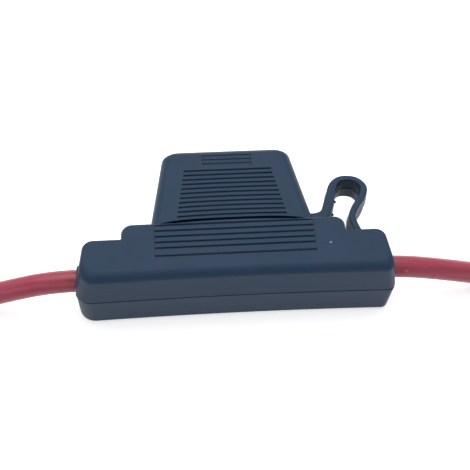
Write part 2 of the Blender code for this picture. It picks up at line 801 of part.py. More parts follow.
# The cap and its tether


def cap_half_width(y):
    return CAP_HALF - CAP_END_TAPER * (y - CAP_FOOT)


def cap_half_depth(y):
    return CAP_HALF_DEPTH - CAP_FACE_TAPER * (y - CAP_FOOT)


def top_round_inset(y, top, rise):
    """How much of the rounding under this top has been used at a height, from 0 to 1."""
    below = max(0.0, min(1.0, 1 - (top - y) / rise))
    return 1 - math.sqrt(1 - below * below)


def cap_rings(foot, top, wall, rise, round_ends, round_faces, corner):
    """Rounded rectangles from foot to top, drawn in by the taper and then by the top's rounding."""
    heights = [foot, top - rise]
    for step in range(1, EDGE_STEPS + 2):
        heights.append(top - rise + rise * math.sin(math.pi / 2 * step / (EDGE_STEPS + 1)))
    rings = []
    for y in heights:
        used = top_round_inset(y, top, rise)
        half_width = cap_half_width(y) - wall - round_ends * used
        half_depth = cap_half_depth(y) - wall - round_faces * used
        outline = rectangle(half_width, half_depth, corner)
        rings.append([(x, y, MIDDLE + z) for x, z in outline])
    return rings


def strap_line():
    """Centre line and thickness of the strap, from the tab's root to its foot in the slot."""
    root = Vector((cap_half_width(CAP_FOOT + TAB_RISE) - TAB_ROOT, CAP_FOOT + TAB_RISE))
    foot = Vector((STRAP_SLOT_X, SHOULDER_HEIGHT - STRAP_FOOT_DEPTH))
    drawn = [Vector((x, y)) * MM for x, y, _ in STRAP_ROUTE]
    correction = foot - root - drawn[-1]
    last = len(STRAP_ROUTE) - 1
    points = []
    for index, point in enumerate(drawn):
        share = min(1.0, index / (last - 2))
        here = root + point + correction * share
        points.append((here.x, here.y, STRAP_ROUTE[index][2] * MM))
    return catmull(points, STRAP_STEPS)


def strap_form(parent):
    """The tether: a flat strap with chamfered edges, bent along its line."""
    line = strap_line()
    rings = []
    for index, point in enumerate(line):
        before = line[max(0, index - 1)]
        after = line[min(len(line) - 1, index + 1)]
        way = Vector((after.x - before.x, after.y - before.y)).normalized()
        across = Vector((-way.y, way.x))
        half = point.z / 2
        edge = STRAP_WIDTH / 2
        inner = half - STRAP_CHAMFER
        inner_edge = edge - STRAP_CHAMFER
        section = [
            (-half, -inner_edge),
            (-inner, -edge),
            (inner, -edge),
            (half, -inner_edge),
            (half, inner_edge),
            (inner, edge),
            (-inner, edge),
            (-half, inner_edge),
        ]
        rings.append([(point.x + across.x * a, point.y + across.y * a, MIDDLE + b) for a, b in section])
    bm = bmesh.new()
    loft(bm, rings)
    return solid("strap_form", bm, parent)


def rim_arch(parent):
    """The arch that lifts the cap's rim off the ledge along both faces."""
    half = cap_half_width(CAP_FOOT) - RIM_FOOT
    steps = 16
    outline = [(half, CAP_FOOT - RIM_ARCH), (half, CAP_FOOT)]
    for step in range(1, steps):
        share = 1 - 2 * step / steps
        outline.append((half * share, CAP_FOOT + RIM_ARCH * (1 - share ** RIM_SQUARENESS)))
    outline += [(-half, CAP_FOOT), (-half, CAP_FOOT - RIM_ARCH)]
    bm = bmesh.new()
    prism_z(bm, outline, MIDDLE - HALF_THICKNESS, MIDDLE + HALF_THICKNESS)
    return solid("rim_arch", bm, parent)


def cap_grooves(parent):
    """Grip grooves across both faces of the cap, and three short ones on the rounded top edge."""
    rows = []
    first = CAP_FOOT + CAP_GROOVE_RISE
    last = CAP_TOP - CROWN_GROOVE_DROP - CROWN_GROOVE_GAP
    for row in range(int((last - first) / CAP_GROOVE_PITCH) + 1):
        y = first + CAP_GROOVE_PITCH * row
        rows.append((y, cap_half_width(y) - CAP_GROOVE_MARGIN))
    for row in range(CROWN_GROOVES):
        y = CAP_TOP - CROWN_GROOVE_DROP + CROWN_GROOVE_PITCH * row
        rows.append((y, CROWN_GROOVE_HALF))
    bm = bmesh.new()
    for side in (-1, 1):
        for y, half in rows:
            used = top_round_inset(y, CAP_TOP, CAP_TOP_ROUND_UP)
            surface = cap_half_depth(y) - CAP_TOP_ROUND_FACES * used
            depths = (MIDDLE + side * (surface - GROOVE_DEPTH), MIDDLE + side * (surface + 2 * GROOVE_DEPTH))
            block(bm, (-half, half), (y - GROOVE_WIDTH / 2, y + GROOVE_WIDTH / 2), depths)
    return solid("cap_grooves", bm, parent)


def fuse_cap(parent, finish):
    """The pull-off cap, one moulding with its tab and tether strap."""
    rounds = (CAP_TOP_ROUND_UP, CAP_TOP_ROUND_ENDS, CAP_TOP_ROUND_FACES)
    bm = bmesh.new()
    loft(bm, cap_rings(CAP_FOOT, CAP_TOP, 0.0, *rounds, CAP_CORNER))
    cap = solid("fuse_cap", bm, parent, finish)
    combine(cap, strap_form(parent), "UNION")
    hollow = bmesh.new()
    rise, ends, faces = [size - CAP_TOP_WALL for size in rounds]
    rings = cap_rings(
        CAP_FOOT - CAP_WALL, CAP_TOP - CAP_TOP_WALL, CAP_WALL, rise, ends, faces, CAP_CORNER - CAP_WALL / 2
    )
    loft(hollow, rings)
    combine(cap, solid("cap_hollow", hollow, parent), "DIFFERENCE")
    combine(cap, rim_arch(parent), "DIFFERENCE")
    combine(cap, cap_grooves(parent), "DIFFERENCE")
    return cap


def cap_seal(parent, finish):
    """The rubber ring in the collar's groove, with two lips that face the cap's wall."""
    low = LEDGE_HEIGHT + SEAL_RISE
    section = [
        (0.0, 0.0),
        (1.0, 0.0),
        (1.0, 0.3),
        (0.6, 0.5),
        (1.0, 0.7),
        (1.0, 1.0),
        (0.0, 1.0),
    ]
    inner_half = SEAL_HALF - SEAL_WIDTH_AT_ENDS
    inner_depth = SEAL_HALF_DEPTH - SEAL_WIDTH_AT_SIDES
    corner = COLLAR_CORNER - SEAL_GROOVE + GAP
    rings = []
    for out, up in section:
        outline = rectangle(
            inner_half + SEAL_WIDTH_AT_ENDS * out,
            inner_depth + SEAL_WIDTH_AT_SIDES * out,
            corner + SEAL_LIP * out,
        )
        rings.append([(x, low + SEAL_HEIGHT * up, MIDDLE + z) for x, z in outline])
    bm = bmesh.new()
    loft(bm, rings, closed=True)
    return solid("cap_seal", bm, parent, finish)


# The fuse


def fuse_body(parent, finish):
    """The fuse's clear plastic body, hollow, with a slot for each blade and two test holes."""
    bm = bmesh.new()
    half = FUSE_WIDTH / 2
    half_depth = FUSE_DEPTH / 2
    shoulder = FUSE_TOP - FUSE_HEAD
    waist = FUSE_CLEARANCE
    levels = [
        (FUSE_SEAT, waist),
        (shoulder - waist, waist),
        (shoulder, 0.0),
        (FUSE_TOP - waist, 0.0),
        (FUSE_TOP, waist),
    ]
    rings = []
    for y, inset in levels:
        outline = rectangle(half - inset, half_depth - inset, FUSE_CORNER)
        rings.append([(x, y, MIDDLE + z) for x, z in outline])
    loft(bm, rings)
    body = solid("fuse_body", bm, parent, finish)
    room = bmesh.new()
    block(
        room,
        (-half + FUSE_END_WALL, half - FUSE_END_WALL),
        (FUSE_SEAT + FUSE_FLOOR, FUSE_TOP - FUSE_END_WALL),
        (MIDDLE - half_depth + FUSE_WALL, MIDDLE + half_depth - FUSE_WALL),
    )
    combine(body, solid("fuse_room", room, parent), "DIFFERENCE")
    ways = bmesh.new()
    slot_half = BLADE_WIDTH / 2 + GAP
    slot_depth = BLADE_THICKNESS / 2 + GAP
    for hand in (-1, 1):
        centre = hand * BLADE_CENTRE
        block(
            ways,
            (centre - slot_half, centre + slot_half),
            (FUSE_SEAT - FUSE_FLOOR, FUSE_SEAT + 2 * FUSE_FLOOR),
            (MIDDLE - slot_depth, MIDDLE + slot_depth),
        )
        block(
            ways,
            (centre - BLADE_WIDTH / 4, centre + BLADE_WIDTH / 4),
            (FUSE_TOP - 2 * FUSE_WALL, FUSE_TOP + FUSE_WALL),
            (MIDDLE - BLADE_THICKNESS, MIDDLE + BLADE_THICKNESS),
        )
    combine(body, solid("fuse_ways", ways, parent), "DIFFERENCE")
    return body


def fuse_element(parent, finish):
    """The stamped blades and the thin link that joins them, one piece of zinc sheet."""
    outer = BLADE_CENTRE + BLADE_WIDTH / 2
    inner = BLADE_CENTRE - BLADE_WIDTH / 2
    neck = inner + BLADE_WIDTH / 4
    step = FUSE_SEAT + FUSE_FLOOR + GAP + BLADE_TIP
    link = FUSE_SEAT + LINK_RISE
    right = [
        (inner, BLADE_BOTTOM + BLADE_TIP),
        (inner + BLADE_TIP, BLADE_BOTTOM),
        (outer - BLADE_TIP, BLADE_BOTTOM),
        (outer, BLADE_BOTTOM + BLADE_TIP),
        (outer, link + LINK_HEIGHT),
        (outer - BLADE_TIP, link + LINK_HEIGHT + BLADE_TIP),
        (neck, link + LINK_HEIGHT),
    ]
    arch_steps = 8
    over = []
    under = []
    for number in range(arch_steps + 1):
        share = 1 - 2 * number / arch_steps
        bow = math.cos(share * math.pi)
        reach = neck * LINK_REACH * share
        over.append((reach, link + LINK_HEIGHT / 2 + LINK_HEIGHT * bow))
        under.append((-reach, link - LINK_HEIGHT / 2 + LINK_HEIGHT * bow))
    left = [(-x, y) for x, y in reversed(right)]
    outline = right + over + left + [(-inner, step), (-neck, step + BLADE_TIP)]
    outline += [(-neck, link - 2 * LINK_HEIGHT)] + under
    outline += [(neck, link - 2 * LINK_HEIGHT), (neck, step + BLADE_TIP), (inner, step)]
    bm = bmesh.new()
    prism_z(bm, outline, MIDDLE - BLADE_THICKNESS / 2, MIDDLE + BLADE_THICKNESS / 2)
    return solid("fuse_element", bm, parent, finish, smooth=False)


# Terminals, leads and grommets


def terminal(name, hand, parent, finish):
    """A flag terminal: a folded receptacle for the blade, a conductor crimp and a lead grip."""
    axis = Vector((LEAD_AXIS_HEIGHT, MIDDLE))
    bm = bmesh.new()
    channel = folded_channel(RECEPTACLE_HALF, RECEPTACLE_HALF_DEPTH, SHEET, RECEPTACLE_SLIT)
    outline = [(hand * BLADE_CENTRE + x, MIDDLE + z) for x, z in channel]
    prism_y(bm, outline, RECEPTACLE_BOTTOM, RECEPTACLE_TOP)
    made = solid(name, bm, parent, finish)

    def strip(label, inner, outer, opening, start, end):
        form = bmesh.new()
        ring = [tuple(axis + Vector(point)) for point in split_ring(inner, outer, opening, math.pi / 2)]
        prism_x(form, ring, hand * start, hand * end)
        combine(made, solid(f"{name}_{label}", form, parent), "UNION")

    def web(label, stations):
        form = bmesh.new()
        rings = []
        for x, near, far in stations:
            low, high = LEAD_AXIS_HEIGHT - WEB_WIDTH / 2, LEAD_AXIS_HEIGHT + WEB_WIDTH / 2
            rings.append(
                [
                    (hand * x, low, MIDDLE - near),
                    (hand * x, high, MIDDLE - near),
                    (hand * x, high, MIDDLE - far),
                    (hand * x, low, MIDDLE - far),
                ]
            )
        loft(form, rings)
        combine(made, solid(f"{name}_{label}", form, parent), "UNION")

    edge = BLADE_CENTRE + RECEPTACLE_HALF
    lap = 2 * SHEET
    back = RECEPTACLE_HALF_DEPTH
    crimp_back = CRIMP_INNER + GAP / 4
    grip_back = GRIP_INNER + GAP / 4
    neck = [
        (edge - lap, back, back + SHEET),
        (edge, back, back + SHEET),
        (CRIMP_START, crimp_back, CRIMP_OUTER),
        (CRIMP_START + lap, crimp_back, CRIMP_OUTER),
    ]
    web("neck", neck)
    strip("crimp", CRIMP_INNER, CRIMP_OUTER, CRIMP_SPLIT, CRIMP_START, CRIMP_END)
    link = [
        (CRIMP_END - lap, crimp_back, CRIMP_OUTER),
        (CRIMP_END, crimp_back, CRIMP_OUTER),
        (LEAD_START - GAP, grip_back, GRIP_OUTER),
        (GRIP_START + lap, grip_back, GRIP_OUTER),
    ]
    web("link", link)
    strip("grip", GRIP_INNER, GRIP_OUTER, GRIP_SPLIT, GRIP_START, GRIP_END)
    return made


def contact_spring(name, hand, parent, finish):
    """A steel clip folded round the receptacle to keep it closed on the blade."""
    bm = bmesh.new()
    channel = folded_channel(SPRING_INNER_HALF, SPRING_INNER_HALF_DEPTH, SPRING_SHEET, SPRING_SLIT)
    outline = [(hand * BLADE_CENTRE + x, MIDDLE + z) for x, z in channel]
    prism_y(bm, outline, LEAD_AXIS_HEIGHT + WEB_WIDTH / 2 + GAP, RECEPTACLE_TOP - SPRING_DROP)
    return solid(name, bm, parent, finish)


def grommet(name, hand, parent, finish):
    """The rubber bush that seals a lead in its end wall, with a flange inside."""
    inner = LEAD_RADIUS + GAP
    flange = GROMMET_RADIUS + GROMMET_FLANGE
    start = END_WALL_INNER - GROMMET_FLANGE_LENGTH
    end = EXIT_X - GROMMET_RECESS
    profile = [
        (start, inner),
        (start, flange),
        (END_WALL_INNER - GAP, flange),
        (END_WALL_INNER - GAP, GROMMET_RADIUS),
        (end - GROMMET_WALL / 2, GROMMET_RADIUS),
        (end, inner + GROMMET_WALL / 2),
        (end, inner),
    ]
    bm = bmesh.new()
    turned_x(bm, [(hand * x, radius) for x, radius in profile], LEAD_AXIS_HEIGHT, MIDDLE)
    return solid(name, bm, parent, finish)


def lead_points(hand, route):
    """The lead's centre line: straight from the grip to the exit, then along its route."""
    exit_point = Vector((hand * EXIT_X, LEAD_AXIS_HEIGHT, MIDDLE))
    inside = [
        Vector((hand * LEAD_START, LEAD_AXIS_HEIGHT, MIDDLE)),
        Vector((hand * along(LEAD_START, EXIT_X, 0.5), LEAD_AXIS_HEIGHT, MIDDLE)),
        exit_point,
    ]
    outside = [exit_point + Vector((hand * x, y, z)) * MM for x, y, z in route]
    return inside + outside


def lead(name, hand, route, parent, finish):
    """The insulated lead as a plain tube. Returns it with its end and the way it points there."""
    line = evenly(catmull(lead_points(hand, route), 12), 2 * LEAD_DIAMETER)
    curve = bpy.data.curves.new(name, "CURVE")
    curve.dimensions = "3D"
    curve.bevel_depth = LEAD_RADIUS
    curve.bevel_resolution = 3
    curve.use_fill_caps = True
    spline = curve.splines.new("POLY")
    spline.points.add(len(line) - 1)
    origin = Vector(parent["origin"])
    for slot, point in zip(spline.points, line):
        slot.co = (*(point - origin), 1.0)
    curve.materials.append(finish)
    made = bpy.data.objects.new(name, curve)
    bpy.context.collection.objects.link(made)
    made.parent = parent
    return line[-1], (line[-1] - line[-2]).normalized()


def strands(name, start, way, length, parent, finish):
    """Stripped conductor: strands laid up with a twist, drawn as one lobed bar."""
    bm = bmesh.new()
    points = 4 * STRAND_LOBES
    levels = 5
    rings = []
    for level in range(levels + 1):
        share = level / levels
        ring = []
        for step in range(points):
            angle = 2 * math.pi * step / points
            radius = CONDUCTOR_RADIUS * (1 - STRAND_RELIEF * (1 - math.cos(STRAND_LOBES * angle)))
            turned = angle + STRAND_TWIST * share
            ring.append((radius * math.cos(turned), radius * math.sin(turned), length * share))
        rings.append(ring)
    loft(bm, rings)
    bmesh.ops.recalc_face_normals(bm, faces=bm.faces)
    mesh = bpy.data.meshes.new(name)
    bm.to_mesh(mesh)
    bm.free()
    mesh.shade_smooth()
    mesh.set_sharp_from_angle(angle=math.radians(50))
    mesh.materials.append(finish)
    made = bpy.data.objects.new(name, mesh)
    bpy.context.collection.objects.link(made)
    made.parent = parent
    made.location = start - Vector(parent["origin"])
    made.rotation_euler = way.to_track_quat("Z", "Y").to_euler()
    return made


def build():
    for item in list(bpy.data.objects):
        bpy.data.objects.remove(item, do_unlink=True)
    housing = material("housing_plastic", (0.055, 0.075, 0.11), 0.5)
    rubber = material("seal_rubber", (0.02, 0.02, 0.022), 0.7)
    copper = material("tinned_copper", (0.72, 0.7, 0.66), 0.3, 1.0)
    steel = material("spring_steel", (0.55, 0.56, 0.58), 0.35, 1.0)
    strand = material("bare_copper", (0.72, 0.36, 0.2), 0.35, 1.0)
    insulation = material("lead_insulation", (0.42, 0.05, 0.08), 0.45)
    zinc = material("fuse_zinc", (0.6, 0.62, 0.64), 0.35, 1.0)
    clear = material("fuse_plastic", (0.05, 0.16, 0.5), 0.2, 0.0, 0.6)

    frame = anchor("holder_frame", (0.0, 0.0, 0.0))
    frame.location = (0.0, -CAP_TOP / 2, 0.0)
    slide = anchor("cap_slide", (0.0, CAP_FOOT, MIDDLE), frame)

    half_shell("front_shell", 1, frame, housing)
    half_shell("rear_shell", -1, frame, housing)
    fuse_cap(slide, housing)
    cap_seal(frame, rubber)
    fuse_body(frame, clear)
    fuse_element(frame, zinc)
    for label, hand, route in (("left", -1, LEFT_ROUTE), ("right", 1, RIGHT_ROUTE)):
        terminal(f"terminal_{label}", hand, frame, copper)
        contact_spring(f"contact_spring_{label}", hand, frame, steel)
        grommet(f"grommet_{label}", hand, frame, rubber)
        end, way = lead(f"lead_{label}", hand, route, frame, insulation)
        strands(f"lead_strands_{label}", end + way * GAP, way, STRIPPED_END, frame, strand)
        inner_start = Vector((hand * (LEAD_START - GAP), LEAD_AXIS_HEIGHT, MIDDLE))
        inner_length = LEAD_START - GAP - CRIMP_START - STRIP_MARGIN / 2
        inward_way = Vector((-hand, 0.0, 0.0))
        strands(f"crimped_strands_{label}", inner_start, inward_way, inner_length, frame, strand)


build()
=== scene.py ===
"""The waterproof fuse holder, dressed: camera, light, leads, finer mouldings and finishes."""

import math
import random

import bmesh
import bpy
from mathutils import Matrix, Vector


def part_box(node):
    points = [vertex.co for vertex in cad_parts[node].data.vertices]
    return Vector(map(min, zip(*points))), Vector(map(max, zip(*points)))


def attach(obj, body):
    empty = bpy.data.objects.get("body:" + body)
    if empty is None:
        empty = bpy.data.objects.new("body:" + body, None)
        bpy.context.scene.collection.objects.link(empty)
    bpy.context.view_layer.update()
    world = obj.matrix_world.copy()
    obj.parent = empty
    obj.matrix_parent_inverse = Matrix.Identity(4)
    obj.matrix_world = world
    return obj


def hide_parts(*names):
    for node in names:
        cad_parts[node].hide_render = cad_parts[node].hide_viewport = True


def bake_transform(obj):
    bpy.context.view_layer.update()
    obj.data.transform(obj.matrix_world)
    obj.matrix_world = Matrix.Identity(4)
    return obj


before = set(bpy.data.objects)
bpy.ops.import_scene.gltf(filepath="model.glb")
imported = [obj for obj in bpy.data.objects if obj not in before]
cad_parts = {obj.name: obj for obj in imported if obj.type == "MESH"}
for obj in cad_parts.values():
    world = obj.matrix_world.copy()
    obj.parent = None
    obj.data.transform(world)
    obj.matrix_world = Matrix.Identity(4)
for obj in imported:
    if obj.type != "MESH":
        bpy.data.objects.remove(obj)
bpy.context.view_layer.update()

MM = 0.001

# The camera, fitted to the body's corners in the photo: its place from the middle of the base
# and from the front face, and the way it looks
CAMERA_ACROSS = -23.77 * MM
CAMERA_BELOW_BASE = 141.84 * MM
CAMERA_OVER_FACE = 244.6 * MM
CAMERA_RIGHT = Vector((0.9957, -0.0803, 0.0462))
CAMERA_UP = Vector((0.0431, 0.8432, 0.5359))
FOCAL_PIXELS = 1100
FRAME_PIXELS = 470
SENSOR_WIDTH = 36.0
CLIP_NEAR = 0.01
CLIP_FAR = 20.0

# Clearances: GAP as between the solids, and the seam between the halves, narrower than there
GAP = 0.3 * MM
SEAM_GAP = 0.2 * MM

# The fuse and the leads
BLADE_WIDTH = 8.0 * MM
BLADE_CENTRE = 6.9 * MM
BLADE_THICKNESS = 0.8 * MM
LEAD_DIAMETER = 6.0 * MM
LEAD_LENGTH = 129.0 * MM
CONDUCTOR_DIAMETER = 3.7 * MM
STRIPPED_END = 7.0 * MM
INSULATION_ROUND = 0.25 * MM

# The stripped conductor: a middle wire with rings round it, each of six more wires than the last,
# the share of its room that a wire fills, its twist in degrees, and how unevenly wires end and lie
WIRE_LAYERS = 4
WIRES_ADDED = 6
WIRE_FILL = 0.96
WIRE_TWIST = 75.0
WIRE_END_SPREAD = 0.5 * MM
WIRE_TURN_SPREAD = 0.04

# Heights over the body's base, the collar's over the ledge, and the thickness of the ledge's wall
LEDGE_HEIGHT = 17.7 * MM
SHOULDER_HEIGHT = 13.3 * MM
BASE_ARCH = 0.65 * MM
COLLAR_HEIGHT = 6.4 * MM
LEDGE_WALL = 1.5 * MM
CHANNEL_LOW = 3.2 * MM
CHANNEL_HIGH = 11.4 * MM
ROOM_FLOOR = 3.6 * MM

# The body's outline: half lengths, corners, and how the walls draw in towards the faces
LEDGE_HALF = 30.3 * MM
SHOULDER_HALF = 41.6 * MM
BASE_HALF = 43.6 * MM
OUTLINE_CORNER = 2.7 * MM
LEFT_BASE_CORNER = 4.2 * MM
RIGHT_BASE_CORNER = 2.4 * MM
RIGHT_END_OUT = 0.05 * MM
RIGHT_SHOULDER_OUT = 0.3 * MM
REAR_END_SETBACK = 0.3 * MM
REAR_RIGHT_BASE_CORNER = 1.75 * MM
INNER_CORNER = 0.8 * MM
FRONT_DRAFT = {"base": 0.35 * MM, "end": 1.5 * MM, "riser": 0.25 * MM, "top": 0.0}
REAR_DRAFT = {"base": 0.2 * MM, "end": 0.5 * MM, "riser": 0.25 * MM, "top": 0.0}
FRONT_ROUNDING = {"base": 2.8 * MM, "end": 1.1 * MM, "riser": 0.9 * MM, "top": 0.9 * MM}
REAR_ROUNDING = {"base": 1.5 * MM, "end": 0.6 * MM, "riser": 0.9 * MM, "top": 0.9 * MM}
FRONT_EDGE_DEPTH = 2.2 * MM
REAR_EDGE_DEPTH = 1.4 * MM
SEAM_ROUND = 0.15 * MM

# The pad and the grooves; ROUND_MIDDLE is how far the middle of a round lies from its two faces,
# as a share of its radius
PAD_RISE = 0.25 * MM
PAD_HALF = 21.3 * MM
PAD_CROWN_DROP = 0.2 * MM
PAD_CROWN_BOW = 0.95 * MM
PAD_LIP = 1.2 * MM
PAD_ROUND = 0.2 * MM
ROUND_MIDDLE = 0.3
PAD_GROOVES = 5
PAD_GROOVE_PITCH = 1.76 * MM
PAD_GROOVE_DROP = 1.3 * MM
PAD_LAST_DROP = 2.4 * MM
PAD_GROOVE_MARGIN = 0.2 * MM
GROOVE_WIDTH = 0.45 * MM
GROOVE_DEPTH = 0.45 * MM
GROOVE_LIP = 0.14 * MM
GROOVE_PROFILE = (GROOVE_WIDTH, GROOVE_DEPTH, GROOVE_LIP)

# The cap
CAP_HALF = 22.2 * MM
CAP_SETBACK = 2.1 * MM
CAP_END_TAPER = 0.175
CAP_FACE_TAPER = 0.072
CAP_CORNER = 2.8 * MM
CAP_WALL = 1.7 * MM
CAP_TOP_WALL = 2.0 * MM
CAP_TOP_ROUND_UP = 3.0 * MM
CAP_TOP_ROUND_ENDS = 3.8 * MM
CAP_TOP_ROUND_FACES = 2.4 * MM
RIM_ARCH = 1.6 * MM
RIM_FOOT = 1.4 * MM
RIM_SQUARENESS = 4
CAP_GROOVES = 11
CAP_GROOVE_PITCH = 1.56 * MM
CAP_GROOVE_RISE = 2.5 * MM
CAP_GROOVE_MARGIN = 6.9 * MM
CAP_GROOVE_BOW = 0.35 * MM
CROWN_GROOVES = 3
CROWN_GROOVE_PITCH = 1.45 * MM
CROWN_GROOVE_DROP = 5.98 * MM
CROWN_GROOVE_HALF = 7.0 * MM
CROWN_GROOVE_WIDTH = 0.95 * MM
CROWN_GROOVE_DEPTH = 0.3 * MM
CROWN_GROOVE_LIP = 0.12 * MM
CROWN_GROOVE_PROFILE = (CROWN_GROOVE_WIDTH, CROWN_GROOVE_DEPTH, CROWN_GROOVE_LIP)

# The collar, the well and the inner rooms
COLLAR_HALF = 18.0 * MM
COLLAR_HALF_DEPTH = 6.15 * MM
COLLAR_CORNER = 3.0 * MM
COLLAR_ROUND = 0.5 * MM
SEAL_GROOVE = 0.5 * MM
SEAL_RISE = 2.9 * MM
SEAL_HEIGHT = 2.2 * MM
WELL_HALF = 15.0 * MM
WELL_HALF_DEPTH = 4.85 * MM
WELL_CORNER = 1.4 * MM
END_WALL = 4.3 * MM
RIB = 1.2 * MM
BORE_STEP = 1.2 * MM
GROMMET_FLANGE = 1.7 * MM
ROOM_WALL = 2.2 * MM
SPRING_ROOM_DEPTH = 2.55 * MM
SPRING_ROOM_HALF = 6.15 * MM

# The tether strap: how it thins from its ridge to its edges, the two nubs in its loop, and where it
# meets the cap and the body
STRAP_WIDTH = 8.4 * MM
STRAP_RIDGE = 0.12 * MM
STRAP_RIDGE_HALF = 0.25 * MM
STRAP_EDGE = 0.14 * MM
RIDGE_FOOT_SPREAD = 1.5
RIDGE_FOOT_THINNED = 0.05
RIM_SPREAD = 2
RIM_LEFT_TO_THIN = 0.1
NUB_RADIUS = 0.5 * MM
NUB_HEIGHTS = (25.2 * MM, 29.4 * MM)
STRAP_ROUND = 0.2 * MM
STRAP_FOOT_DEPTH = 1.6 * MM
STRAP_SLOT_X = 35.4 * MM
TAB_RISE = 3.7 * MM
TAB_ROOT = 0.9 * MM

# The strap's centre line from the tab's root, across and up, with its thickness on the way. Its
# last points keep their distance to the foot
STRAP_FOOT_POINTS = 3
STRAP_ROUTE = [
    (0.0, 0.3, 2.6),
    (3.1, 0.3, 2.6),
    (5.65, 1.6, 3.0),
    (7.45, 6.3, 2.9),
    (8.55, 10.25, 2.5),
    (10.45, 12.42, 1.95),
    (13.0, 12.9, 1.75),
    (15.65, 12.05, 1.85),
    (17.2, 9.55, 2.15),
    (16.3, 6.55, 2.25),
    (13.9, 3.1, 2.25),
    (12.6, 0.2, 2.15),
    (12.95, -2.6, 2.0),
    (13.85, -5.8, 2.1),
    (14.2, -8.1, 2.0),
    (14.2, -9.9, 2.0),
]

# How far the free leads run outward, up and towards the front from their exits
RIGHT_ROUTE = [
    (2.0, 0.0, -0.05),
    (7.0, 0.0, -0.8),
    (12.0, 0.0, -1.95),
    (17.0, 0.0, -3.3),
    (22.0, 0.0, -4.75),
    (27.0, 0.0, -6.3),
    (33.0, 0.0, -7.8),
    (44.0, 1.2, -8.4),
    (56.0, 5.4, -8.4),
    (67.0, 11.2, -8.4),
    (78.0, 16.8, -8.4),
    (90.0, 20.2, -8.4),
    (105.0, 21.2, -8.4),
]
LEFT_ROUTE = [
    (2.0, 0.0, 0.0),
    (7.0, 0.0, -0.5),
    (12.0, 0.0, -1.6),
    (17.0, 0.0, -3.2),
    (22.0, 0.0, -4.95),
    (27.0, 0.0, -6.5),
    (33.0, 0.0, -7.9),
    (46.0, 0.9, -8.4),
    (59.0, 4.6, -8.4),
    (70.0, 10.4, -8.4),
    (80.0, 17.2, -8.4),
    (91.0, 22.6, -8.4),
    (104.0, 25.0, -8.4),
]

# Small marks: a pale speck on the front face, a scuff and a scrape on the right lead, and the
# share of their reach that has their full tint
SPECK_PLACE = (25.2 * MM, -13.0 * MM, 22.6 * MM)
SPECK_REACH = (0.35 * MM, 0.25 * MM, 0.3 * MM)
SCUFF_PLACE = (44.9 * MM, -17.5 * MM, 12.6 * MM)
SCUFF_REACH = (1.7 * MM, 0.4 * MM, 1.0 * MM)
SCRAPE_PLACE = (46.7 * MM, -17.2 * MM, 12.8 * MM)
SCRAPE_REACH = (0.6 * MM, 0.2 * MM, 0.6 * MM)
FLECK_SOLID = 0.7

# Colours of the moulding, the leads and the other finishes, and of the small marks
SLATE_TONES = [(0.3, (0.0165, 0.0385, 0.072)), (0.7, (0.0210, 0.0385, 0.077))]
RED_TONES = [
    (0.3, (0.28, 0.024, 0.053)),
    (0.5, (0.355, 0.036, 0.078)),
    (0.72, (0.42, 0.066, 0.125)),
]
RUBBER_TONES = [(0.35, (0.013, 0.013, 0.014)), (0.7, (0.028, 0.028, 0.03))]
CLEAR_TONES = [(0.3, (0.10, 0.28, 0.72)), (0.7, (0.16, 0.36, 0.82))]
TINNED_TONES = [(0.35, (0.62, 0.6, 0.55)), (0.65, (0.74, 0.72, 0.68))]
STEEL_TONES = [(0.35, (0.45, 0.46, 0.48)), (0.65, (0.56, 0.57, 0.6))]
ZINC_TONES = [(0.35, (0.5, 0.52, 0.54)), (0.65, (0.64, 0.66, 0.68))]
COPPER_TONES = [(0.35, (0.62, 0.26, 0.13)), (0.65, (0.78, 0.38, 0.21))]
SPECK_TINT = (0.30, 0.34, 0.38)
SCUFF_TINT = (0.38, 0.003, 0.012)
SCRAPE_TINT = (0.46, 0.14, 0.18)

# Sizes of the finishes' patterns, their scale per axis, their detail where it isn't the usual one,
# and how deep light goes into the red insulation
SLATE_CLOUDS = 14 * MM
SLATE_FLOW = 0.9 * MM
SLATE_GRAIN = 0.35 * MM
LEAD_PATCHES = 6 * MM
LEAD_GRAIN = 0.4 * MM
RUBBER_BLOOM = 2.5 * MM
RUBBER_GRAIN = 0.3 * MM
METAL_TARNISH = 3 * MM
METAL_LINES = 0.25 * MM
CLEAR_FLOW = 5 * MM
CLEAR_GRAIN = 0.6 * MM
FLOW_STRETCH = (0.08, 1, 1)
STREAK_STRETCH = (14, 5, 1)
LINES_ALONG_X = (0.1, 1, 1)
LINES_ALONG_Y = (1, 0.1, 1)
LINES_ALONG_Z = (1, 1, 0.1)
FLOW_DETAIL = 4.0
GRAIN_DETAIL = 2.0
RED_DEPTH = 5 * MM

# Roughness from the smoothest to the roughest places
SLATE_ROUGHNESS = (0.46, 0.54)
RED_ROUGHNESS = (0.27, 0.4)
RUBBER_ROUGHNESS = (0.65, 0.85)
CLEAR_ROUGHNESS = (0.08, 0.18)
SOFT_METAL_ROUGHNESS = (0.25, 0.4)
STEEL_ROUGHNESS = (0.25, 0.45)
ZINC_ROUGHNESS = (0.35, 0.5)

# Relief of the surfaces: strength and height
SLATE_FLOW_RELIEF = (0.04, 0.03 * MM)
SLATE_GRAIN_RELIEF = (0.25, 0.03 * MM)
LEAD_STREAK_RELIEF = (0.2, 0.08 * MM)
LEAD_GRAIN_RELIEF = (0.15, 0.02 * MM)
RUBBER_RELIEF = (0.3, 0.03 * MM)
METAL_RELIEF = (0.15, 0.02 * MM)
CLEAR_RELIEF = (0.03, 0.01 * MM)

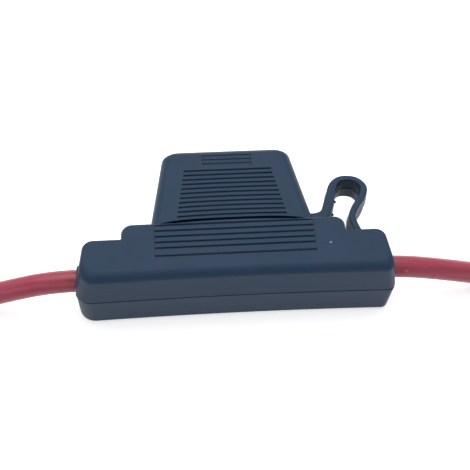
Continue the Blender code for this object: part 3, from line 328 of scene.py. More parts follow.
# The floor, the softbox and the room: how bright, where, and between which measures of a
# direction the room dims and its horizon and its sides light up
FLOOR_REACH = 2.0
FLOOR_WHITE = 0.92
FLOOR_GLOW = 0.62
SOFTBOX_SIZE = 0.9
SOFTBOX_PLACE = Vector((-0.05, 0.37, 0.88))
SOFTBOX_POWER = 6.2
ROOM_LEVEL = 0.6
ROOM_DIM_LEVEL = 0.05
ROOM_DIM_WAY = (0.0, -0.75, 0.66)
ROOM_DIM_BETWEEN = (0.55, 0.85)
HORIZON_BETWEEN = (0.14, 0.44)
SIDES_BETWEEN = (0.35, 0.8)

# Fineness of the round shapes
CORNER_STEPS = 9
EDGE_STEPS = 9
BASE_STEPS = 12
WALL_STEPS = 4
CROWN_STEPS = 24
COLLAR_ROUND_STEPS = 4
GROOVE_STEPS = 12
BORE_SIDES = 48
RIM_STEPS = 40
STRAP_STEPS = 8
STRAP_ROUND_STEPS = 3
NUB_FINENESS = 2
LEAD_STEPS = 8
LEAD_SIDES = 48
WIRE_STEPS = 10
WIRE_SIDES = 8

# How far cutters reach past a surface, which points are one, and the sine of a turn that counts
# as none
CUT_PAST = 1.0 * MM
SAME_POINT = 0.0001 * MM
STRAIGHT_TURN = 0.02

# Edges sharper than these, in degrees, stay sharp, and how strongly large faces stay flat
MOULDING_EDGE = 38
STRAP_EDGE_ANGLE = 50
LEAD_EDGE = 60
WIRE_EDGE = 50
FLAT_WEIGHT = 90

# Places and sizes that follow from the frame and from the values above
CAP_TOP = 2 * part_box("fuse_cap")[1].y
BASE_Y = -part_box("fuse_cap")[1].y
HALF_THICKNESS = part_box("front_shell")[1].z / 2
MIDDLE = HALF_THICKNESS
FACE_DEPTH = HALF_THICKNESS - PAD_RISE
CAP_FOOT = LEDGE_HEIGHT + GAP
CAP_HALF_DEPTH = HALF_THICKNESS - CAP_SETBACK
LEAD_RADIUS = LEAD_DIAMETER / 2
WIRE_RADIUS = CONDUCTOR_DIAMETER / 2 / (2 * WIRE_LAYERS - 1)
LEAD_AXIS_HEIGHT = sum(corner.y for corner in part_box("grommet_right")) / 2 - BASE_Y
LEAD_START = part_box("lead_right")[0].x
EXIT_X = BASE_HALF - (BASE_HALF - SHOULDER_HALF) * LEAD_AXIS_HEIGHT / SHOULDER_HEIGHT
END_WALL_INNER = EXIT_X - END_WALL
GROMMET_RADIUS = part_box("grommet_right")[1].z - MIDDLE - GROMMET_FLANGE
CRIMP_START = BLADE_CENTRE + SPRING_ROOM_HALF + RIB


# Curves and outlines


def catmull(points, steps):
    """A smooth line through the points, with this many steps between neighbours."""
    ends = [points[0], *points, points[-1]]
    line = []
    for index in range(len(points) - 1):
        before, first, second, after = [Vector(point) for point in ends[index:index + 4]]
        for step in range(steps):
            share = step / steps
            line.append(
                0.5 * (
                    2 * first
                    + (second - before) * share
                    + (2 * before - 5 * first + 4 * second - after) * share ** 2
                    + (3 * first - before - 3 * second + after) * share ** 3
                )
            )
    line.append(Vector(points[-1]))
    return line


def inward(corners, offsets):
    """A counter-clockwise polygon with edge i, from corner i to the next, moved in by offsets[i]."""
    moved = []
    for index, corner in enumerate(corners):
        here = Vector(corner)
        before = (here - Vector(corners[index - 1])).normalized()
        after = (Vector(corners[(index + 1) % len(corners)]) - here).normalized()
        turn = before.x * after.y - before.y * after.x
        if abs(turn) < STRAIGHT_TURN:
            moved.append(here + Vector((-after.y, after.x)) * offsets[index])
        else:
            moved.append(here + (after * offsets[index - 1] - before * offsets[index]) / turn)
    return moved


def rounded(corners, radii):
    """The polygon with each corner turned into an arc, or left sharp where its radius is zero."""
    outline = []
    for index, corner in enumerate(corners):
        here = Vector(corner)
        radius = radii[index]
        if not radius:
            outline.append(here)
            continue
        back = (Vector(corners[index - 1]) - here).normalized()
        ahead = (Vector(corners[(index + 1) % len(corners)]) - here).normalized()
        half = math.acos(max(-1.0, min(1.0, back.dot(ahead)))) / 2
        centre = here + (back + ahead).normalized() * (radius / math.sin(half))
        first = here + back * (radius / math.tan(half)) - centre
        last = here + ahead * (radius / math.tan(half)) - centre
        sweep = math.atan2(first.x * last.y - first.y * last.x, first.dot(last))
        for step in range(CORNER_STEPS + 1):
            outline.append(centre + Matrix.Rotation(sweep * step / CORNER_STEPS, 2) @ first)
    return outline


def rectangle(half_width, half_depth, radius):
    """A rounded rectangle about the origin."""
    corners = [
        (-half_width, -half_depth),
        (half_width, -half_depth),
        (half_width, half_depth),
        (-half_width, half_depth),
    ]
    return rounded(corners, [radius] * len(corners))


# Solids, drawn with the base of the body at height zero


def loft(bm, rings):
    """A solid through rings of equal length, with a face at each end."""
    loops = [[bm.verts.new(point) for point in ring] for ring in rings]
    for lower, upper in zip(loops, loops[1:]):
        for index in range(len(lower)):
            follower = (index + 1) % len(lower)
            bm.faces.new((lower[index], lower[follower], upper[follower], upper[index]))
    bm.faces.new(loops[0])
    bm.faces.new(loops[-1])


def prism_y(bm, outline, start, end):
    """A straight solid along Y, from its outline in X and Z."""
    loft(bm, [[(a, y, b) for a, b in outline] for y in (start, end)])


def prism_z(bm, outline, start, end):
    """A straight solid along Z, from its outline in X and Y."""
    loft(bm, [[(a, b, z) for a, b in outline] for z in (start, end)])


def block(bm, x, y, z):
    """A box between two places along each axis, given in either order."""
    low_x, high_x = sorted(x)
    low_y, high_y = sorted(y)
    prism_z(bm, [(low_x, low_y), (high_x, low_y), (high_x, high_y), (low_x, high_y)], *sorted(z))


def add_object(name, data):
    """An object of this data, linked to the scene."""
    made = bpy.data.objects.new(name, data)
    bpy.context.scene.collection.objects.link(made)
    return made


def add_mesh(name, bm, rise=0.0):
    """A mesh object of what the bmesh holds, faces turned outward, moved along Y by the rise."""
    bmesh.ops.recalc_face_normals(bm, faces=bm.faces)
    bmesh.ops.translate(bm, verts=bm.verts, vec=(0, rise, 0))
    mesh = bpy.data.meshes.new(name)
    bm.to_mesh(mesh)
    bm.free()
    return add_object(name, mesh)


def solid(name, bm):
    """A mesh object with doubled points merged, moved from the body's base to its place."""
    bmesh.ops.remove_doubles(bm, verts=bm.verts, dist=SAME_POINT)
    return add_mesh(name, bm, BASE_Y)


def carve(target, joined, cut):
    """Joins some solids to the target and cuts others out of it, which uses all of them up."""
    for operation, operands in (("UNION", joined), ("DIFFERENCE", cut)):
        for operand in operands:
            step = target.modifiers.new(operand.name, "BOOLEAN")
            step.object = operand
            step.operation = operation
            step.solver = "EXACT"
    evaluated = target.evaluated_get(bpy.context.evaluated_depsgraph_get())
    finished = bpy.data.meshes.new_from_object(evaluated)
    target.modifiers.clear()
    plain = target.data
    target.data = finished
    finished.name = target.name
    bpy.data.meshes.remove(plain)
    for operand in [*joined, *cut]:
        bpy.data.meshes.remove(operand.data)


def smooth(piece, angle, finish):
    """The piece's finish and smooth shading, with edges sharper than this angle kept."""
    piece.data.shade_smooth()
    piece.data.set_sharp_from_angle(angle=math.radians(angle))
    piece.data.materials.append(finish)


def even_faces(piece):
    """Normals that keep large flat faces flat."""
    weights = piece.modifiers.new("even_faces", "WEIGHTED_NORMAL")
    weights.keep_sharp = True
    weights.weight = FLAT_WEIGHT


# The half shells


def body_outline(side, draft, rounding, inset):
    """A half's outline, drawn in by shares of its draft and its edges' rounding and by an inset."""
    full_draft = FRONT_DRAFT if side > 0 else REAR_DRAFT
    full_rounding = FRONT_ROUNDING if side > 0 else REAR_ROUNDING
    shares = [2 * step / BASE_STEPS - 1 for step in range(BASE_STEPS)]
    base = [(BASE_HALF * share, BASE_ARCH * (1 - share * share)) for share in shares]
    corners = base + [
        (BASE_HALF + RIGHT_END_OUT, 0.0),
        (SHOULDER_HALF + RIGHT_SHOULDER_OUT, SHOULDER_HEIGHT),
        (LEDGE_HALF, SHOULDER_HEIGHT),
        (LEDGE_HALF, LEDGE_HEIGHT),
        (-LEDGE_HALF, LEDGE_HEIGHT),
        (-LEDGE_HALF, SHOULDER_HEIGHT),
        (-SHOULDER_HALF, SHOULDER_HEIGHT),
    ]
    edges = ["base"] * BASE_STEPS + ["end", "top", "riser", "top", "riser", "top", "end"]
    radii = [LEFT_BASE_CORNER] + [0] * (BASE_STEPS - 1) + [
        RIGHT_BASE_CORNER if side > 0 else REAR_RIGHT_BASE_CORNER,
        OUTLINE_CORNER,
        INNER_CORNER,
        OUTLINE_CORNER,
        OUTLINE_CORNER,
        INNER_CORNER,
        OUTLINE_CORNER,
    ]
    setbacks = {"end": REAR_END_SETBACK if side < 0 else 0.0}
    offsets = [
        draft * full_draft[edge] + rounding * full_rounding[edge] + inset + setbacks.get(edge, 0.0)
        for edge in edges
    ]
    return rounded(inward(corners, offsets), radii)


def shell_blank(name, side):
    """The outside of one half: a slightly broken edge at the seam, a drafted wall, a rounded face."""
    edge_depth = FRONT_EDGE_DEPTH if side > 0 else REAR_EDGE_DEPTH
    wall_end = FACE_DEPTH - edge_depth
    levels = [(SEAM_GAP / 2, 0.0, 0.0, SEAM_ROUND), (SEAM_GAP / 2 + SEAM_ROUND, 0.0, 0.0, 0.0)]
    for step in range(1, WALL_STEPS + 1):
        levels.append((wall_end * step / WALL_STEPS, step / WALL_STEPS, 0.0, 0.0))
    for step in range(1, EDGE_STEPS + 1):
        angle = math.pi / 2 * step / EDGE_STEPS
        levels.append((wall_end + edge_depth * math.sin(angle), 1.0, 1 - math.cos(angle), 0.0))
    rings = []
    for depth, draft, rounding, inset in levels:
        outline = body_outline(side, draft, rounding, inset)
        rings.append([(x, y, MIDDLE + side * depth) for x, y in outline])
    bm = bmesh.new()
    loft(bm, rings)
    return solid(name, bm)


def collar_half(side):
    """Half of the collar round the fuse, with the seal's groove and a rounded mouth."""
    low = LEDGE_HEIGHT - LEDGE_WALL / 2
    top = LEDGE_HEIGHT + COLLAR_HEIGHT
    groove_low = LEDGE_HEIGHT + SEAL_RISE - GAP
    groove_high = groove_low + SEAL_HEIGHT + 2 * GAP
    levels = [
        (low, 0.0),
        (groove_low, 0.0),
        (groove_low, SEAL_GROOVE),
        (groove_high, SEAL_GROOVE),
        (groove_high, 0.0),
    ]
    for step in range(COLLAR_ROUND_STEPS + 1):
        angle = math.pi / 2 * step / COLLAR_ROUND_STEPS
        drop = COLLAR_ROUND * (1 - math.sin(angle))
        levels.append((top - drop, COLLAR_ROUND * (1 - math.cos(angle))))
    bm = bmesh.new()
    rings = []
    for y, inset in levels:
        outline = rectangle(COLLAR_HALF - inset, COLLAR_HALF_DEPTH - inset, COLLAR_CORNER - inset)
        rings.append([(x, y, MIDDLE + z) for x, z in outline])
    loft(bm, rings)
    whole = solid("collar_form", bm)
    beyond = 2 * COLLAR_HALF
    seam = MIDDLE + side * SEAM_GAP / 2
    other = bmesh.new()
    block(other, (-beyond, beyond), (0, 2 * top), (seam, MIDDLE - side * beyond))
    carve(whole, [], [solid("collar_cut", other)])
    return whole


def pad_levels():
    """Heights of the pad's grooves from the top down, the last one set lower."""
    levels = [LEDGE_HEIGHT - PAD_GROOVE_DROP - PAD_GROOVE_PITCH * row for row in range(PAD_GROOVES)]
    return levels + [levels[-1] - PAD_LAST_DROP]


def face_pad(side):
    """The raised grip pad with a bowed upper edge, its rim rounded over."""
    crown = []
    for step in range(CROWN_STEPS + 1):
        share = 1 - 2 * step / CROWN_STEPS
        drop = PAD_CROWN_DROP + PAD_CROWN_BOW * share * share
        crown.append((PAD_HALF * share, LEDGE_HEIGHT - drop))
    foot = pad_levels()[-1]
    corners = [(-PAD_HALF, foot), (PAD_HALF, foot)] + crown
    middle = PAD_ROUND * ROUND_MIDDLE
    rings = []
    for depth, inset in ((PAD_LIP, 0.0), (PAD_ROUND, 0.0), (middle, middle), (0.0, PAD_ROUND)):
        outline = inward(corners, [inset] * len(corners))
        rings.append([(x, y, MIDDLE + side * (HALF_THICKNESS - depth)) for x, y in outline])
    bm = bmesh.new()
    loft(bm, rings)
    return solid("pad_form", bm)


def groove(bm, half, height, bow, profile, surface, side):
    """A cutter for one groove along X with softened lips, bowed up in its middle."""
    width, depth, lip = profile
    section = [
        (-width / 2 - lip, CUT_PAST),
        (-width / 2 - lip, 0.0),
        (-width / 2, -lip),
        (-width / 2, -depth + lip),
        (-width / 2 + lip, -depth),
        (width / 2 - lip, -depth),
        (width / 2, -depth + lip),
        (width / 2, -lip),
        (width / 2 + lip, 0.0),
        (width / 2 + lip, CUT_PAST),
    ]
    rings = []
    for step in range(GROOVE_STEPS + 1):
        share = 2 * step / GROOVE_STEPS - 1
        rise = height + bow * (1 - share * share)
        rings.append([(half * share, rise + a, MIDDLE + side * (surface + b)) for a, b in section])
    loft(bm, rings)


def pad_grooves(side):
    """The pad's grooves, of which the last one runs across its whole width."""
    bm = bmesh.new()
    halves = [PAD_HALF - PAD_GROOVE_MARGIN] * PAD_GROOVES + [PAD_HALF]
    for half, y in zip(halves, pad_levels()):
        groove(bm, half, y, 0.0, GROOVE_PROFILE, HALF_THICKNESS, side)
    return solid("pad_grooves", bm)


def shell_rooms(side):
    """The rooms inside a half: terminals, crimps and leads."""
    bm = bmesh.new()
    ceiling = LEDGE_HEIGHT - LEDGE_WALL
    depth = FACE_DEPTH - ROOM_WALL
    behind = MIDDLE - side * CUT_PAST
    for hand in (-1, 1):
        near = hand * (BLADE_CENTRE - SPRING_ROOM_HALF)
        far = hand * (BLADE_CENTRE + SPRING_ROOM_HALF)
        block(bm, (near, far), (ROOM_FLOOR, ceiling), (behind, MIDDLE + side * SPRING_ROOM_DEPTH))
        start = hand * CRIMP_START
        end = hand * (END_WALL_INNER - BORE_STEP - RIB)
        block(bm, (start, end), (CHANNEL_LOW, CHANNEL_HIGH), (behind, MIDDLE + side * depth))
    return solid("shell_rooms", bm)


def openings():
    """The fuse's well, the blades' slots, the leads' ways through the ends and the strap's slot."""
    well = bmesh.new()
    outline = [(x, MIDDLE + z) for x, z in rectangle(WELL_HALF, WELL_HALF_DEPTH, WELL_CORNER)]
    prism_y(well, outline, LEDGE_HEIGHT - GAP, LEDGE_HEIGHT + 2 * COLLAR_HEIGHT)
    slots = bmesh.new()
    for hand in (-1, 1):
        centre = hand * BLADE_CENTRE
        half_width = BLADE_WIDTH / 2 + GAP
        half_depth = BLADE_THICKNESS / 2 + GAP
        block(
            slots,
            (centre - half_width, centre + half_width),
            (LEDGE_HEIGHT - 2 * LEDGE_WALL, LEDGE_HEIGHT + LEDGE_WALL),
            (MIDDLE - half_depth, MIDDLE + half_depth),
        )
    half = STRAP_ROUTE[-1][2] * MM / 2 + GAP
    strap_half = STRAP_WIDTH / 2 + GAP
    foot = bmesh.new()
    block(
        foot,
        (STRAP_SLOT_X - half, STRAP_SLOT_X + half),
        (SHOULDER_HEIGHT - STRAP_FOOT_DEPTH - GAP, SHOULDER_HEIGHT + STRAP_FOOT_DEPTH),
        (MIDDLE - strap_half, MIDDLE + strap_half),
    )
    return [
        solid("fuse_well", well),
        solid("blade_slots", slots),
        lead_bores(),
        solid("strap_slot", foot),
    ]


def lead_bores():
    """The round ways of the leads, widest where the grommets' flanges sit."""
    bm = bmesh.new()
    neck = GROMMET_RADIUS + GAP
    flange = GROMMET_RADIUS + GROMMET_FLANGE + GAP
    flange_start = END_WALL_INNER - BORE_STEP - GAP
    stations = [
        (BLADE_CENTRE, LEAD_RADIUS),
        (flange_start, LEAD_RADIUS + GAP),
        (flange_start, flange),
        (END_WALL_INNER, flange),
        (END_WALL_INNER, neck),
        (BASE_HALF + END_WALL, neck),
    ]
    for hand in (-1, 1):
        rings = []
        for x, radius in stations:
            ring = []
            for step in range(BORE_SIDES):
                angle = 2 * math.pi * (step + 0.5) / BORE_SIDES
                across = radius * math.cos(angle)
                ring.append((hand * x, LEAD_AXIS_HEIGHT + across, MIDDLE + radius * math.sin(angle)))
            rings.append(ring)
        loft(bm, rings)
    return solid("lead_bores", bm)


def half_moulding(name, node, side, finish):
    """One half of the body with its collar and pad, hollow inside."""
    shell = shell_blank(name, side)
    joined = [collar_half(side), face_pad(side)]
    cut = [shell_rooms(side), *openings(), pad_grooves(side)]
    carve(shell, joined, cut)
    smooth(shell, MOULDING_EDGE, finish)
    even_faces(shell)
    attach(shell, "housing")
    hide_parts(node)


# The cap and its tether


def cap_half_width(y):
    """Half the cap's width at a height, as its taper leaves it."""
    return CAP_HALF - CAP_END_TAPER * (y - CAP_FOOT)


def cap_half_depth(y):
    """Half the cap's depth at a height, as its taper leaves it."""
    return CAP_HALF_DEPTH - CAP_FACE_TAPER * (y - CAP_FOOT)


def round_used(y, top, rise):
    """How much of the rounding under this top has been used at a height, from 0 to 1."""
    below = max(0.0, min(1.0, 1 - (top - y) / rise))
    return 1 - math.sqrt(1 - below * below)


def cap_form(name, foot, top, wall, rounds, corner):
    """Rounded rectangles from foot to top, drawn in by the taper and then by the top's rounding."""
    rise, round_ends, round_faces = rounds
    heights = [foot + (top - rise - foot) * step / WALL_STEPS for step in range(WALL_STEPS + 1)]
    for step in range(1, EDGE_STEPS + 1):
        heights.append(top - rise + rise * math.sin(math.pi / 2 * step / EDGE_STEPS))
    rings = []
    for y in heights:
        used = round_used(y, top, rise)
        half_width = cap_half_width(y) - wall - round_ends * used
        half_depth = cap_half_depth(y) - wall - round_faces * used
        rings.append([(x, y, MIDDLE + z) for x, z in rectangle(half_width, half_depth, corner)])
    bm = bmesh.new()
    loft(bm, rings)
    return solid(name, bm)


def rim_arch():
    """The arch that lifts the cap's rim off the ledge along both faces."""
    half = cap_half_width(CAP_FOOT) - RIM_FOOT
    outline = [(half, CAP_FOOT - RIM_ARCH), (half, CAP_FOOT)]
    for step in range(1, RIM_STEPS):
        share = 1 - 2 * step / RIM_STEPS
        outline.append((half * share, CAP_FOOT + RIM_ARCH * (1 - share ** RIM_SQUARENESS)))
    outline += [(-half, CAP_FOOT), (-half, CAP_FOOT - RIM_ARCH)]
    bm = bmesh.new()
    prism_z(bm, outline, MIDDLE - HALF_THICKNESS, MIDDLE + HALF_THICKNESS)
    return solid("rim_arch", bm)


def cap_grooves():
    """Grip grooves across both faces, bowed more towards the rim, and three shallow ones above."""
    bm = bmesh.new()
    for side in (-1, 1):
        for row in range(CAP_GROOVES):
            y = CAP_FOOT + CAP_GROOVE_RISE + CAP_GROOVE_PITCH * row
            bow = CAP_GROOVE_BOW * (1 - row / (CAP_GROOVES - 1))
            half = cap_half_width(y) - CAP_GROOVE_MARGIN
            groove(bm, half, y - bow / 2, bow, GROOVE_PROFILE, cap_half_depth(y), side)
        for row in range(CROWN_GROOVES):
            y = CAP_TOP - CROWN_GROOVE_DROP + CROWN_GROOVE_PITCH * row
            surface = cap_half_depth(y) - CAP_TOP_ROUND_FACES * round_used(y, CAP_TOP, CAP_TOP_ROUND_UP)
            groove(bm, CROWN_GROOVE_HALF, y, 0.0, CROWN_GROOVE_PROFILE, surface, side)
    return solid("cap_grooves", bm)


def cap_moulding(finish):
    """The hollow cap, without its tether."""
    rounds = (CAP_TOP_ROUND_UP, CAP_TOP_ROUND_ENDS, CAP_TOP_ROUND_FACES)
    inner_rounds = tuple(size - CAP_TOP_WALL for size in rounds)
    cap = cap_form("cap_moulding", CAP_FOOT, CAP_TOP, 0.0, rounds, CAP_CORNER)
    hollow_foot = CAP_FOOT - CAP_WALL
    corner = CAP_CORNER - CAP_WALL / 2
    hollow = cap_form("cap_hollow", hollow_foot, CAP_TOP - CAP_TOP_WALL, CAP_WALL, inner_rounds, corner)
    carve(cap, [], [hollow, rim_arch(), cap_grooves()])
    smooth(cap, MOULDING_EDGE, finish)
    even_faces(cap)
    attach(cap, "cap")
    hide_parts("fuse_cap")


def strap_line():
    """Centre line and thickness of the strap, from the tab's root to its foot in the slot."""
    root = Vector((cap_half_width(CAP_FOOT + TAB_RISE) - TAB_ROOT, CAP_FOOT + TAB_RISE))
    foot = Vector((STRAP_SLOT_X, SHOULDER_HEIGHT - STRAP_FOOT_DEPTH))
    drawn = [Vector((x, y)) * MM for x, y, _ in STRAP_ROUTE]
    correction = foot - root - drawn[-1]
    settled = len(STRAP_ROUTE) - STRAP_FOOT_POINTS
    points = []
    for index, point in enumerate(drawn):
        here = root + point + correction * min(1.0, index / settled)
        points.append((here.x, here.y, STRAP_ROUTE[index][2] * MM))
    return catmull(points, STRAP_STEPS)


def strap_section(half):
    """A section of this half thickness: a ridge on the middle plane, thinner at rounded edges."""
    edge = STRAP_WIDTH / 2
    outer = half - STRAP_EDGE
    quarter = [
        (half + STRAP_RIDGE, 0.0),
        (half, STRAP_RIDGE_HALF),
        (half - RIDGE_FOOT_THINNED * STRAP_EDGE, RIDGE_FOOT_SPREAD * STRAP_RIDGE_HALF),
        (outer + RIM_LEFT_TO_THIN * STRAP_EDGE, edge - RIM_SPREAD * STRAP_ROUND),
        (outer, edge - STRAP_ROUND),
    ]
    for step in range(1, STRAP_ROUND_STEPS + 1):
        angle = math.pi / 2 * step / STRAP_ROUND_STEPS
        quarter.append(
            (outer - STRAP_ROUND * (1 - math.cos(angle)), edge - STRAP_ROUND * (1 - math.sin(angle)))
        )
    mirrored = [(-a, b) for a, b in reversed(quarter)]
    upper = quarter + mirrored
    lower = [(a, -b) for a, b in reversed(upper[1:-1])]
    return upper + lower


def tether_strap(finish):
    """The looped strap, which follows the cap at its tab and stays in the body at its foot."""
    line = strap_line()
    rings = []
    for index, point in enumerate(line):
        before = line[max(0, index - 1)]
        after = line[min(len(line) - 1, index + 1)]
        way = Vector((after.x - before.x, after.y - before.y)).normalized()
        across = Vector((-way.y, way.x))
        section = strap_section(point.z / 2)
        rings.append([(point.x + across.x * a, point.y + across.y * a, MIDDLE + b) for a, b in section])
    bm = bmesh.new()
    loft(bm, rings)
    for height in NUB_HEIGHTS:
        index = next(number for number, point in enumerate(line) if point.y > height)
        way = (line[index + 1] - line[index - 1]).normalized()
        reach = line[index].z / 2 + STRAP_RIDGE
        centre = (line[index].x + way.y * reach, line[index].y - way.x * reach, MIDDLE)
        place = Matrix.Translation(centre)
        bmesh.ops.create_icosphere(bm, subdivisions=NUB_FINENESS, radius=NUB_RADIUS, matrix=place)
    strap = solid("tether_strap", bm)
    smooth(strap, STRAP_EDGE_ANGLE, finish)
    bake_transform(strap)
    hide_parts("fuse_cap")


# The leads


def lead_line(hand, route):
    """A lead's exit, and its centre line from its crimp through the exit and along its route."""
    exit_point = Vector((hand * EXIT_X, BASE_Y + LEAD_AXIS_HEIGHT, MIDDLE))
    start = exit_point - Vector((hand * (EXIT_X - LEAD_START), 0, 0))
    outside = [exit_point + Vector((hand * x, y, z)) * MM for x, y, z in route]
    halfway = start.lerp(exit_point, 0.5)
    return exit_point, catmull([start, halfway, exit_point, *outside], LEAD_STEPS)


def frames_along(line):
    """The way of a line and two directions across it at each of its points, without twist."""
    normal = Vector((0, 0, 1))
    frames = []
    for index in range(len(line)):
        way = (line[min(len(line) - 1, index + 1)] - line[max(0, index - 1)]).normalized()
        normal = (normal - way * normal.dot(way)).normalized()
        frames.append((way, normal, way.cross(normal)))
    return frames


def lead_stations(line):
    """Centre, directions and radius of each ring along a lead, and the way travelled up to it."""
    frames = frames_along(line)
    stations = [(line[0], frames[0], LEAD_RADIUS)]
    travelled = [0.0]
    for index in range(1, len(line)):
        stations.append((line[index], frames[index], LEAD_RADIUS))
        travelled.append(travelled[-1] + (line[index] - line[index - 1]).length)
    last_way = frames[-1][0]
    stations[-1] = (line[-1] - last_way * INSULATION_ROUND, frames[-1], LEAD_RADIUS)
    stations.append((line[-1], frames[-1], LEAD_RADIUS - INSULATION_ROUND))
    travelled.append(travelled[-1] + INSULATION_ROUND)
    return stations, travelled


def lead_bar(name, line, finish):
    """A lead with its far end's edge broken, unrolled in its UV map: across, then along."""
    bm = bmesh.new()
    unrolled = bm.loops.layers.uv.new("unrolled")
    stations, travelled = lead_stations(line)
    rings = []
    for point, (_, normal, across), reach in stations:
        ring = []
        for step in range(LEAD_SIDES):
            angle = 2 * math.pi * step / LEAD_SIDES
            outward = normal * math.cos(angle) + across * math.sin(angle)
            ring.append(bm.verts.new(point + reach * outward))
        rings.append(ring)
    for index in range(len(rings) - 1):
        lower, upper = rings[index], rings[index + 1]
        for step in range(LEAD_SIDES):
            follower = (step + 1) % LEAD_SIDES
            face = bm.faces.new((lower[step], lower[follower], upper[follower], upper[step]))
            ends = (step / LEAD_SIDES, (step + 1) / LEAD_SIDES)
            marks = [(ends[0], index), (ends[1], index), (ends[1], index + 1), (ends[0], index + 1)]
            for loop, (turn, station) in zip(face.loops, marks):
                loop[unrolled].uv = (turn, travelled[station] / LEAD_LENGTH)
    bm.faces.new(rings[0])
    bm.faces.new(rings[-1])
    bar = add_mesh(name, bm)
    smooth(bar, LEAD_EDGE, finish)
    return bar


def wire_rings(reach, phase, length):
    """The rings of one wire that winds about the Z axis at this reach from it."""
    rings = []
    for step in range(WIRE_STEPS + 1):
        share = step / WIRE_STEPS
        angle = phase + math.radians(WIRE_TWIST) * share
        centre = Vector((reach * math.cos(angle), reach * math.sin(angle), length * share))
        ring = []
        for number in range(WIRE_SIDES):
            turn = 2 * math.pi * number / WIRE_SIDES
            ring.append(centre + Vector((math.cos(turn), math.sin(turn), 0)) * WIRE_RADIUS * WIRE_FILL)
        rings.append(ring)
    return rings


def wire_bundle(name, start, way, finish, seed):
    """Stripped conductor: fine wires in rings round one another, laid up with a twist."""
    draw = random.Random(seed)
    bm = bmesh.new()
    turn = way.to_track_quat("Z", "Y").to_matrix()
    for layer in range(WIRE_LAYERS):
        count = max(1, WIRES_ADDED * layer)
        reach = 2 * WIRE_RADIUS * layer
        for number in range(count):
            length = STRIPPED_END - draw.uniform(0.0, WIRE_END_SPREAD)
            phase = 2 * math.pi * number / count + draw.uniform(-WIRE_TURN_SPREAD, WIRE_TURN_SPREAD)
            rings = wire_rings(reach, phase, length)
            loft(bm, [[start + turn @ point for point in ring] for ring in rings])
    bundle = add_mesh(name, bm)
    smooth(bundle, WIRE_EDGE, finish)
    return bundle


def make_lead(label, hand, route, insulation, copper):
    """A lead as a cord with its stripped end; the length of its label seeds the wires' draws."""
    exit_point, line = lead_line(hand, route)
    way = (line[-1] - line[-2]).normalized()
    wires = wire_bundle(f"{label}_wires", line[-1] + way * GAP, way, copper, len(label))
    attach(wires, "housing")
    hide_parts(f"lead_strands_{label}")
    piece = lead_bar(f"{label}_lead", line, insulation)
    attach(piece, "housing")
    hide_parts(f"lead_{label}")


# Finishes


def new_finish(name, roughness, metallic=0.0):
    """A material with its node tree and its shader."""
    made = bpy.data.materials.new(name)
    made.use_nodes = True
    shader = made.node_tree.nodes["Principled BSDF"]
    shader.inputs["Roughness"].default_value = roughness
    shader.inputs["Metallic"].default_value = metallic
    return made, made.node_tree, shader


def position(tree, stretch=(1, 1, 1), shift=(0, 0, 0)):
    """Object coordinates, which are the frame's own, scaled per axis and then shifted."""
    place = tree.nodes.new("ShaderNodeTexCoord")
    mapping = tree.nodes.new("ShaderNodeMapping")
    mapping.inputs["Scale"].default_value = stretch
    mapping.inputs["Location"].default_value = shift
    tree.links.new(place.outputs["Object"], mapping.inputs["Vector"])
    return mapping.outputs["Vector"]


def noise(tree, vector, feature, detail=3.0):
    """Soft noise whose features are about this size in metres."""
    made = tree.nodes.new("ShaderNodeTexNoise")
    made.inputs["Scale"].default_value = 1 / feature
    made.inputs["Detail"].default_value = detail
    tree.links.new(vector, made.inputs["Vector"])
    return made.outputs["Fac"]


def remap(tree, source, low, high, floor=0.3, ceiling=0.7):
    """A value that follows the source between two limits."""
    made = tree.nodes.new("ShaderNodeMapRange")
    made.inputs["From Min"].default_value = floor
    made.inputs["From Max"].default_value = ceiling
    made.inputs["To Min"].default_value = low
    made.inputs["To Max"].default_value = high
    tree.links.new(source, made.inputs["Value"])
    return made.outputs["Result"]


def tones(tree, source, stops):
    """Colours along a source, from (place, colour) stops."""
    made = tree.nodes.new("ShaderNodeValToRGB")
    ramp = made.color_ramp
    while len(ramp.elements) < len(stops):
        ramp.elements.new(0.5)
    for element, (place, colour) in zip(ramp.elements, stops):
        element.position = place
        element.color = (*colour, 1.0)
    tree.links.new(source, made.inputs["Fac"])
    return made.outputs["Color"]


def fleck(tree, colour, centre, reach, tint):
    """The colour with a small fleck of another tint at a place on the piece."""
    stretch = [1 / size for size in reach]
    shift = [-place / size for place, size in zip(centre, reach)]
    length = tree.nodes.new("ShaderNodeVectorMath")
    length.operation = "LENGTH"
    tree.links.new(position(tree, stretch, shift), length.inputs[0])
    blend = tree.nodes.new("ShaderNodeMix")
    blend.data_type = "RGBA"
    blend.inputs["B"].default_value = (*tint, 1.0)
    share = remap(tree, length.outputs["Value"], 1.0, 0.0, FLECK_SOLID, 1.0)
    tree.links.new(share, blend.inputs["Factor"])
    tree.links.new(colour, blend.inputs["A"])
    return blend.outputs["Result"]


def relief(tree, shader, heights):
    """Bumps one after another, from (height, strength, distance)."""
    normal = None
    for height, strength, distance in heights:
        made = tree.nodes.new("ShaderNodeBump")
        made.inputs["Strength"].default_value = strength
        made.inputs["Distance"].default_value = distance
        tree.links.new(height, made.inputs["Height"])
        if normal:
            tree.links.new(normal, made.inputs["Normal"])
        normal = made.outputs["Normal"]
    tree.links.new(normal, shader.inputs["Normal"])


